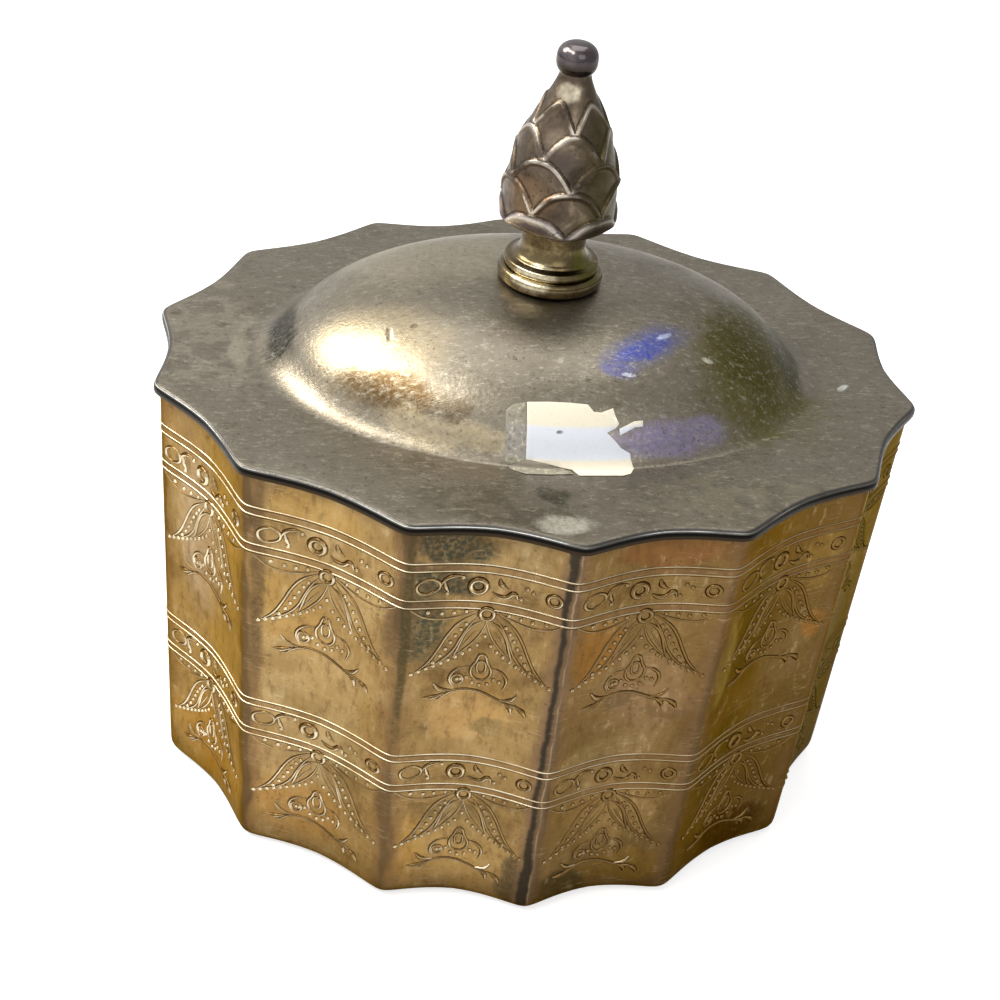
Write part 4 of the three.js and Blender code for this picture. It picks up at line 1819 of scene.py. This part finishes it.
LID_PATCHES = patch_table(
    ((-57, 6, 83.5), (14, 34, 1.5), (174, 164, 146), 0.45, 150, 0.9, 6),
    ((28, -43, 83.5), (26, 12, 1.5), (150, 142, 118), 0.5, 150, 0.9, 6),
    ((-12, -46, 83.5), (26, 9, 1.5), (98, 92, 76), 0.5, 300, 0.6, 6),
    # Painted reflection: the light band on the hollow fillet at the left end.
    ((-52.5, -1, 83.5), (2.6, 14, 2), (184, 176, 154), 0.55, 260, 0.7, 2),
    # Painted warm glow round the dome's highlight.
    ((-30, -15, 93), (20, 15, 12), (190, 172, 136), 0.5, 150, 0.9),
    # Painted light on the top of the dome.
    ((-20, 14, 98), (30, 24, 14), (198, 186, 158), 0.5, 260, 1, 4),
    # Painted dark reflection on the dome's left shoulder.
    ((-45.8, 0, 86.5), (5.5, 17, 6), (40, 38, 26), 1, 300, 0.9, 3, -8),
    ((-28.5, -23.5, 89.5), (17, 4.4, 5.5), (92, 72, 44), 1, 900, 1, 2, -27),
    ((-16.7, -29.4, 90), (4, 2.6, 4), (92, 74, 52), 0.6, 1200, 0.9, 2.5),
    # Painted highlight: speckled light along the front fillet.
    ((-20, -30.5, 86.5), (24, 5, 4), (228, 208, 166), 0.4, 2600, 0.8, 3, -18),
    # Painted olive reflection and shade on the right of the dome.
    ((36, -16, 91), (24, 24, 16), (98, 92, 30), 0.85, 260, 1, 5),
    ((36, -10, 92), (17, 18, 14), (76, 70, 2), 1, 260, 1, 5),
    ((43.5, -5, 88), (7, 14, 9), (58, 54, 8), 0.9, 120, 0.6, 3),
    # Painted blue and violet reflections on the front right of the dome.
    ((14.5, -18.3, 96.5), (14, 5.4, 7), (92, 98, 150), 0.65, 700, 1, 2, 36),
    ((14.5, -18.6, 96.5), (9, 3, 6), (62, 80, 172), 0.7, 700, 1, 2, 36),
    ((9.5, -24.2, 95), (5, 2.4, 4), (112, 114, 176), 0.6, 900, 1, 2),
    ((20, -30.9, 87.3), (19, 3.6, 5), (152, 144, 184), 0.65, 1100, 1, 2, 12),
    # Painted glints.
    ((10.7, -25, 94.8), (1.9, 0.5, 2), (225, 228, 240), 0.9, 1600, 0.8, 0.8),
    ((17.8, -15.9, 97.2), (2.6, 0.8, 2), (205, 212, 240), 0.9, 1600, 0.9, 0.8, 30),
    ((25, -19, 94.6), (1.8, 0.8, 2), (225, 222, 200), 0.9, 1600, 0.8, 0.8),
    ((54.4, -7.7, 83.5), (2.4, 1, 2), (235, 235, 225), 0.9, 1600, 0.8, 1, 40),
    # A nick painted as a shaded side and a lit side.
    ((-28.5, -14.6, 95), (0.55, 2.5, 3), (84, 74, 56), 0.9, 900, 0.4),
    ((-27.8, -14.6, 95), (0.4, 2.3, 3), (232, 222, 196), 0.8, 900, 0.4),
    # Painted shade in a dent.
    ((-24.2, -14, 96.4), (1.1, 0.9, 3), (106, 94, 68), 0.8, 900, 0.4),
    ((-2.6, -51.2, 83.5), (6.4, 3.4, 1.5), (226, 222, 204), 0.9, 1600, 0.8, 2),
    ((-2.8, -43.8, 83.5), (7, 3.8, 1.5), (60, 64, 46), 0.75, 500, 0.9, 4),
)
CONE_PATCHES = patch_table(
    ((-6, -7, 117), (6, 8, 6), (136, 108, 80), 0.5, 700, 0.9),
    ((-3, -8, 124), (5, 6, 4), (96, 86, 82), 0.5, 600, 0.8),
    ((1, -8, 121.5), (3.2, 6, 2.6), (48, 42, 36), 0.6, 600, 0.8, 1),
    ((-2, -8.5, 115), (4.5, 6, 2), (62, 54, 44), 0.5, 600, 0.8, 1),
    ((-2.2, -5, 127), (3, 5, 3), (166, 148, 128), 0.6, 900, 1, 1.5),
    # Painted highlight at the top of the neck.
    ((-1, -3.5, 134), (3.4, 3, 2), (226, 214, 188), 0.6, 900, 1, 1.5),
)
FOOT_PATCHES = patch_table(
    ((0, 0, 108), (9, 9, 4), (74, 56, 34), 0.85, 400, 0.8),
    # Painted olive reflection on the right.
    ((5.5, -5, 104.5), (4.5, 6, 5), (84, 84, 20), 0.8, 300, 0.8),
    # Painted highlight.
    ((-4.5, -7, 102.5), (6, 4.5, 3.4), (240, 228, 196), 0.8, 500, 0.9, 1),
)
LABEL_PATCHES = patch_table(
    ((-1.4, -33.2, 88.6), (0.9, 0.3, 0.7), (60, 60, 62), 0.8, 1500, 0.6),
)
# Broad clouds: scale, where the noise starts to show and where it is full, colour, strength.
WALL_CLOUDS = (
    (19.0, 0.5, 0.66, shade(108, 98, 68), 0.6),
    (31.0, 0.54, 0.68, shade(152, 120, 88), 0.55),
    (23.0, 0.46, 0.34, shade(192, 152, 84), 0.5),
    (47.0, 0.56, 0.7, shade(208, 184, 138), 0.45),
)
# How much darker the wall is at a share of its height: towards its foot, and under the rim as a
# painted shadow of the lid's edge.
RIM_AND_FOOT = (
    *((0.0, 0.85), (0.05, 0.4), (0.13, 0.05)),
    *((0.9, 0.0), (0.96, 0.1), (0.985, 0.5), (1.0, 1.0)),
)
# Heights between the two lines of each border, in millimetres.
BORDER_MIDDLES = (74.8, 67.5, 34.3, 27.4)
# Colour of what the gold reflects at a grazing view.
GRAZING_TINT = shade(205, 186, 152)

# The golden colours are tarnish with a painted warm reflection of the surface in front of the box.
GOLD = Tarnish(shade(188, 160, 112), shade(160, 131, 84), shade(92, 71, 43), 38.0, 0.26, 0.14)
CUT = Tarnish(shade(190, 162, 114), shade(164, 136, 90), shade(130, 104, 64), 60.0, 0.24, 0.1)
GREY = Tarnish(shade(152, 144, 128), shade(132, 124, 109), shade(106, 99, 84), 42.0, 0.3, 0.12)
CAST = Tarnish(shade(146, 130, 110), shade(98, 86, 74), shade(54, 46, 40), 190.0, 0.26, 0.16)
TURNED = Tarnish(shade(158, 142, 106), shade(106, 93, 66), shade(54, 45, 30), 170.0, 0.2, 0.12)
BRASS = Tarnish(shade(190, 154, 92), shade(160, 124, 68), shade(104, 78, 44), 120.0)
STEEL = Tarnish(shade(176, 176, 178), shade(140, 140, 142), shade(92, 90, 88), 120.0)


class Finishes:
    """The materials of the box."""

    def __init__(self, wall: FlutedWall) -> None:
        """Keeps the wall, whose map the wall's finish follows."""
        self.groups = GroupMaker()
        self.wall_shape = wall

    def wall(self) -> bpy.types.Material:
        """Makes the wall's golden colour, tarnish with a painted warm reflection, darker along the
        flute edges and at its foot, with painted shade on its right and a painted shadow under the
        rim.
        """
        finish = Finish("wall_tarnish_and_painted_light", GOLD, self.groups)
        graph = finish.graph
        smoky = graph.warped(finish.place, 40.0, 12 * MM)
        for scale, *band in WALL_CLOUDS:
            finish.band(graph.noise(smoky, scale, 6.0, Roughness=0.64), *band)
        finish.patches(WALL_PATCHES)
        # Painted shade on the right-hand side.
        self.shaded_side(finish, shade(106, 80, 40), 0.85)
        finish.patches(SHADED_PATCHES)
        grain = graph.noise(graph.stretched(finish.place, (1.0, 1.0, 0.4)), 620.0, 6.0, Roughness=0.7)
        finish.band(grain, 0.5, 0.34, shade(104, 78, 50), 0.5)
        finish.band(grain, 0.55, 0.7, shade(212, 188, 144), 0.35)
        self.flute_edges(finish)
        finish.patches(EDGE_PATCHES)
        self.front_edge(finish)
        finish.specks(900.0, shade(70, 54, 36), 0.4)
        finish.edge_tint = GRAZING_TINT
        return finish.close(waves=0.6, tooth=0.012)

    def shaded_side(self, finish: Finish, colour: Colour, strength: float) -> None:
        """Darkens the right-hand side from the front edge on, and the last flutes most, as painted
        shade.
        """
        graph = finish.graph
        along = graph.split(finish.place)[0]
        past = graph.span(along, -0.5 * MM, 1.5 * MM)
        deeper = graph.span(along, 0.0, 42 * MM, 0.5, 1.0)
        finish.stain(graph.times(past, deeper), colour, strength)
        finish.band(along, 47 * MM, 56 * MM, shade(104, 90, 56), 0.8)

    def flute_edges(self, finish: Finish) -> None:
        """Draws brown bands along the flute edges and the borders, darkens the foot, and paints the
        shadow under the rim.
        """
        graph = finish.graph
        uv = graph.split(graph.add("UVMap", uv_map=self.wall_shape.uv_name).outputs["UV"])
        count = graph.times(uv[0], float(len(self.wall_shape.outline.spans)))
        streaks = graph.noise(graph.stretched(finish.place, (1.0, 1.0, 0.3)), 240.0, 5.0)
        uneven = graph.times(graph.math("SUBTRACT", streaks, 0.5), 0.22)
        near = graph.math("ADD", graph.away(graph.math("FRACT", count), 0.5), uneven)
        finish.band(near, 0.38, 0.47, shade(122, 94, 66), 0.7)
        draw = graph.add("TexWhiteNoise", noise_dimensions="1D")
        graph.join(draw.inputs["W"], graph.math("FLOOR", graph.math("ADD", count, 0.5)))
        strong = graph.span(draw.outputs["Value"], 0.0, 1.0, 0.3, 0.95)
        finish.stain(graph.times(graph.span(near, 0.455, 0.49), strong), shade(78, 66, 50), 0.8)
        # Darker towards the foot, and a painted shadow under the lid's edge.
        level = graph.math("ADD", uv[1], graph.times(uneven, 0.25))
        finish.stain(graph.ramp(level, RIM_AND_FOOT), shade(66, 48, 30), 0.75)
        height = graph.split(finish.place)[2]
        for middle in BORDER_MIDDLES:
            ground = graph.span(graph.away(height, middle * MM), 0.9 * MM, 0.4 * MM)
            finish.stain(graph.times(ground, finish.mottle), shade(116, 86, 62), 0.45)
        flat = graph.add("CombineXYZ")
        graph.feed(flat, X=graph.times(uv[0], 390 * MM), Y=graph.times(uv[1], 83 * MM))
        finish.scratch(130.0, shade(214, 196, 156), 0.3, flat.outputs[0])

    def front_edge(self, finish: Finish) -> None:
        """Draws the dark wavy line along the front edge, with a painted highlight along the ridge on
        its right.
        """
        graph = finish.graph
        along, depth, height = graph.split(finish.place)
        front = graph.span(depth, -50 * MM, -53.5 * MM)
        wave = graph.noise(graph.stretched(finish.place, (0.0, 0.0, 1.0)), 120.0, 3.0)
        across = graph.math("ADD", along, graph.times(graph.math("SUBTRACT", wave, 0.5), 2.2 * MM))
        wide = graph.span(graph.away(height, 46 * MM), 20 * MM, 42 * MM, 0.0, 0.5 * MM)
        core = graph.math("SUBTRACT", graph.away(across, -1.1 * MM), wide)
        core = finish.broken(graph.span(core, 0.9 * MM, 0.0), 900.0, 1.0)
        halo = graph.span(graph.away(across, -0.9 * MM), 2.8 * MM, 0.8 * MM)
        halo = graph.times(finish.broken(halo, 500.0, 1.0), finish.mottle)
        # Painted highlight along the ridge, right of the dark line.
        pale = graph.span(graph.away(across, 0.05 * MM), 0.25 * MM, 0.0)
        pale = graph.times(pale, graph.span(wave, 0.4, 0.6, 0.2, 1.0))
        for line, colour, strength in (
            (halo, shade(128, 104, 82), 0.55),
            (core, shade(50, 47, 42), 0.9),
            (pale, shade(196, 174, 142), 0.45),
        ):
            finish.stain(graph.times(line, front), colour, strength)

    def lid(self) -> bpy.types.Material:
        """Makes the grey-brown tarnish of the lid, with painted light on the dome and along the turned
        edge: a warm glow at the left of the dome, highlights, glints and reflections.
        """
        finish = Finish("lid_tarnish_and_painted_light", GREY, self.groups)
        graph = finish.graph
        grain = graph.noise(finish.place, 420.0, 6.0, Roughness=0.75)
        finish.band(grain, 0.42, 0.3, shade(70, 62, 48), 0.5)
        finish.band(grain, 0.58, 0.72, shade(196, 188, 168), 0.45)
        finish.patches(LID_PATCHES)
        along = graph.stretched(finish.place, (0.45, 1.0, 1.0))
        streaks = graph.noise(along, 1300.0, 4.0, Roughness=0.7)
        finish.band(streaks, 0.54, 0.68, shade(196, 190, 172), 0.4)
        finish.band(streaks, 0.44, 0.3, shade(74, 68, 56), 0.45)
        finish.specks(1100.0, shade(74, 66, 54), 0.5)
        finish.scratch(210.0, shade(220, 212, 194), 0.35)
        # From the rim down, the turned edge gets a painted dark reflection, a painted highlight line,
        # a painted black reflection and a painted brown one.
        mark = finish.mark
        finish.band(mark, 0.02, 0.3, shade(70, 69, 68), 0.8)
        bright = graph.times(graph.span(mark, 0.46, 0.53), graph.span(mark, 0.61, 0.55))
        shine = graph.span(graph.noise(finish.place, 75.0, 3.0), 0.42, 0.6, 0.15, 0.95)
        right = graph.span(graph.split(finish.place)[0], 26 * MM, 40 * MM, 1.0, 0.35)
        finish.stain(graph.times(bright, graph.times(shine, right)), shade(216, 218, 216))
        finish.band(mark, 0.66, 0.76, shade(18, 17, 17), 0.95)
        finish.band(mark, 1.0, 1.2, shade(66, 54, 38), 0.7)
        return finish.close(waves=0.15, tooth=0.045)

    def cast(self) -> bpy.types.Material:
        """Makes the casting: lips worn bright with a painted highlight, a painted shadow beside them,
        painted shade with an olive reflection on the right, and painted shade under the ball.
        """
        finish = Finish("cast_silver", CAST, self.groups)
        graph = finish.graph
        finish.patches(CONE_PATCHES)
        mark = finish.mark
        # Painted shadow beside each lip, where the mark is below 0.
        finish.stain(finish.broken(graph.span(mark, -0.1, -0.9), 500.0, 0.8), shade(44, 37, 30), 0.8)
        along, _, height = graph.split(finish.place)
        low = graph.span(height, 114.8 * MM, 113.8 * MM)
        finish.stain(graph.times(graph.span(mark, 0.1, 0.45), low), shade(124, 116, 124), 0.75)
        # Lips worn bright, with a painted highlight.
        worn = graph.span(graph.noise(finish.place, 190.0, 4.0), 0.42, 0.6)
        finish.stain(graph.times(graph.span(mark, 0.5, 0.98), worn), shade(216, 206, 192), 0.85)
        # Painted shade and an olive reflection on the right-hand side.
        finish.band(along, -1 * MM, 6 * MM, shade(74, 66, 34), 0.7)
        ball = graph.span(mark, 1.2, 1.6)
        finish.stain(ball, shade(86, 80, 86), 0.85)
        # Painted shade under the ball.
        under = graph.times(ball, graph.span(height, 139 * MM, 137.5 * MM))
        finish.stain(under, shade(56, 48, 40), 0.85)
        finish.polish = graph.times(ball, 0.14)
        finish.specks(1200.0, shade(46, 38, 30), 0.6)
        return finish.close(waves=0.25, tooth=0.03)

    def turned(self) -> bpy.types.Material:
        """Makes the golden turned foot, brown in its hollow, with a painted olive reflection on its
        right and a painted highlight at its front left.
        """
        finish = Finish("turned_silver", TURNED, self.groups)
        finish.patches(FOOT_PATCHES)
        finish.specks(1200.0, shade(50, 40, 24), 0.6)
        return finish.close(waves=0.25, tooth=0.02)

    def plain(self, name: str, tarnish: Tarnish) -> bpy.types.Material:
        """Makes a finish with nothing but its own tarnish and specks."""
        finish = Finish(name, tarnish, self.groups)
        finish.specks(1100.0, tarnish.dark, 0.5)
        return finish.close(waves=0.05, tooth=0.015)

    def cut(self) -> bpy.types.Material:
        """Makes the bright-cut lines, with a painted highlight on their upper flank and painted shade,
        brown, on the lower one.
        """
        finish = Finish("bright_cut", CUT, self.groups)
        graph = finish.graph
        worn = graph.span(graph.noise(finish.place, 160.0, 4.0), 0.35, 0.6, 0.4, 1.0)
        # Painted highlight on the upper flank, broken into patches.
        upper = graph.span(finish.mark, 0.0, 0.4)
        finish.stain(graph.times(upper, worn), shade(255, 246, 218), 0.9)
        # Painted shade on the lower flank.
        finish.band(finish.mark, -0.05, -0.3, shade(94, 72, 42), 0.8)
        # Painted shade on the right-hand side.
        self.shaded_side(finish, shade(132, 104, 60), 0.8)
        finish.edge_tint = GRAZING_TINT
        return finish.close()

    def label(
        self, name: str, colour: Colour, gloss: Colour, strength: float, speckle: float
    ) -> bpy.types.Material:
        """Makes the label's paper, with a painted sheen in a band across it and dark specks.

        Args:
            name: Name of the material.
            colour: Its own colour.
            gloss: Colour of the painted sheen in the band.
            strength: How much the band covers.
            speckle: How strongly it is speckled, as where the metal shows through.

        Returns:
            The material.
        """
        finish = Finish(name, Tarnish(colour, colour, colour, 200.0, 0.35, 0.2), self.groups)
        graph = finish.graph
        height = graph.split(finish.place)[2]
        # A painted sheen in a band across the label.
        lower, upper = graph.span(height, 84.4 * MM, 85 * MM), graph.span(height, 89.6 * MM, 89 * MM)
        finish.stain(graph.times(lower, upper), gloss, strength)
        grain = graph.noise(finish.place, 1300.0, 5.0, Roughness=0.7)
        finish.band(grain, 0.54, 0.66, shade(222, 214, 194), speckle)
        finish.band(grain, 0.46, 0.34, shade(92, 82, 62), speckle)
        finish.patches(LABEL_PATCHES)
        return finish.close(waves=0.1, metallic=0.0)


def main() -> None:
    """Builds the looks of the box round its frame."""
    logging.basicConfig(level=logging.INFO, format="%(name)s: %(message)s")
    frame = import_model()
    nodes = frame["nodes"]
    _, wall_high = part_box("body_wall")
    lid_low, lid_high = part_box("lid_shell")
    flange_low, flange_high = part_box("lid_flange")
    foot_low, foot_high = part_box("finial_foot")
    cone_low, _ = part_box("finial_cone")

    outline = FlutedOutline(half_length=OVAL_HALF_LENGTH, half_width=wall_high.y)
    ProductCamera().build()
    Studio().build()

    wall = FlutedWall(outline, height=wall_high.z)
    finishes = Finishes(wall)
    wall_finish = finishes.wall()
    cut_finish = finishes.cut()
    cast_finish = finishes.cast()
    turned_finish = finishes.turned()
    plate_finish = finishes.plain("tarnished_base", GOLD)

    finish_piece(wall.build(), Body.BOX, wall_finish, ["body_wall"])
    engraver = Engraver(wall)
    finish_piece(engraver.lines(), Body.BOX, cut_finish)
    for name, motif, heights in (
        ("frieze", frieze(), engraver.frieze_heights),
        ("swag", swag(), engraver.swag_heights),
    ):
        for kind, template, lift in (
            ("_cuts", engraver.stroke_mesh, 0.0),
            ("_beads", engraver.bead_mesh, engraver.bead_lift),
        ):
            work = engraver.spread(template(motif), heights, name + kind, lift)
            finish_piece(work, Body.BOX, cut_finish)

    rim_top = lid_low.z + PressedLid.edge_drop
    lid = PressedLid(outline, rim_top, lid_high.z - rim_top).build()
    finish_piece(lid, Body.LID, finishes.lid(), ["lid_shell"])
    flange = LidFlange(outline, flange_high.z, flange_low.z)
    finish_piece(flange.build(), Body.LID, plate_finish, ["lid_flange"])
    foot = FinialFoot(foot_low.z, foot_high.z)
    finish_piece(foot.build(), Body.LID, turned_finish, ["finial_foot"])
    finish_piece(ScaledCone(cone_low.z).build(), Body.LID, cast_finish, ["finial_cone"])

    label = LabelRemnant(lid)
    paper = finishes.label("label_paper", shade(236, 228, 206), shade(222, 228, 240), 0.9, 0.08)
    film = finishes.label("label_film", shade(146, 140, 122), shade(156, 153, 152), 0.5, 0.6)
    for name, shape, finish in (
        ("label_paper", label.paper, paper),
        ("label_residue", label.residue, film),
        ("label_strip", label.strip, film),
        ("label_fold", label.fold, paper),
    ):
        finish_piece(label.build(name, shape), Body.LID, finish)

    dress(nodes["base_plate"], plate_finish)
    for node, name, tarnish in (
        ("finial_stud", "plain_brass", BRASS),
        ("finial_washer", "washer_brass", BRASS),
        ("finial_nut", "nut_steel", STEEL),
    ):
        dress(nodes[node], finishes.plain(name, tarnish))
        LOG.info("%s keeps its solid", node)


if __name__ == "__main__":
    main()
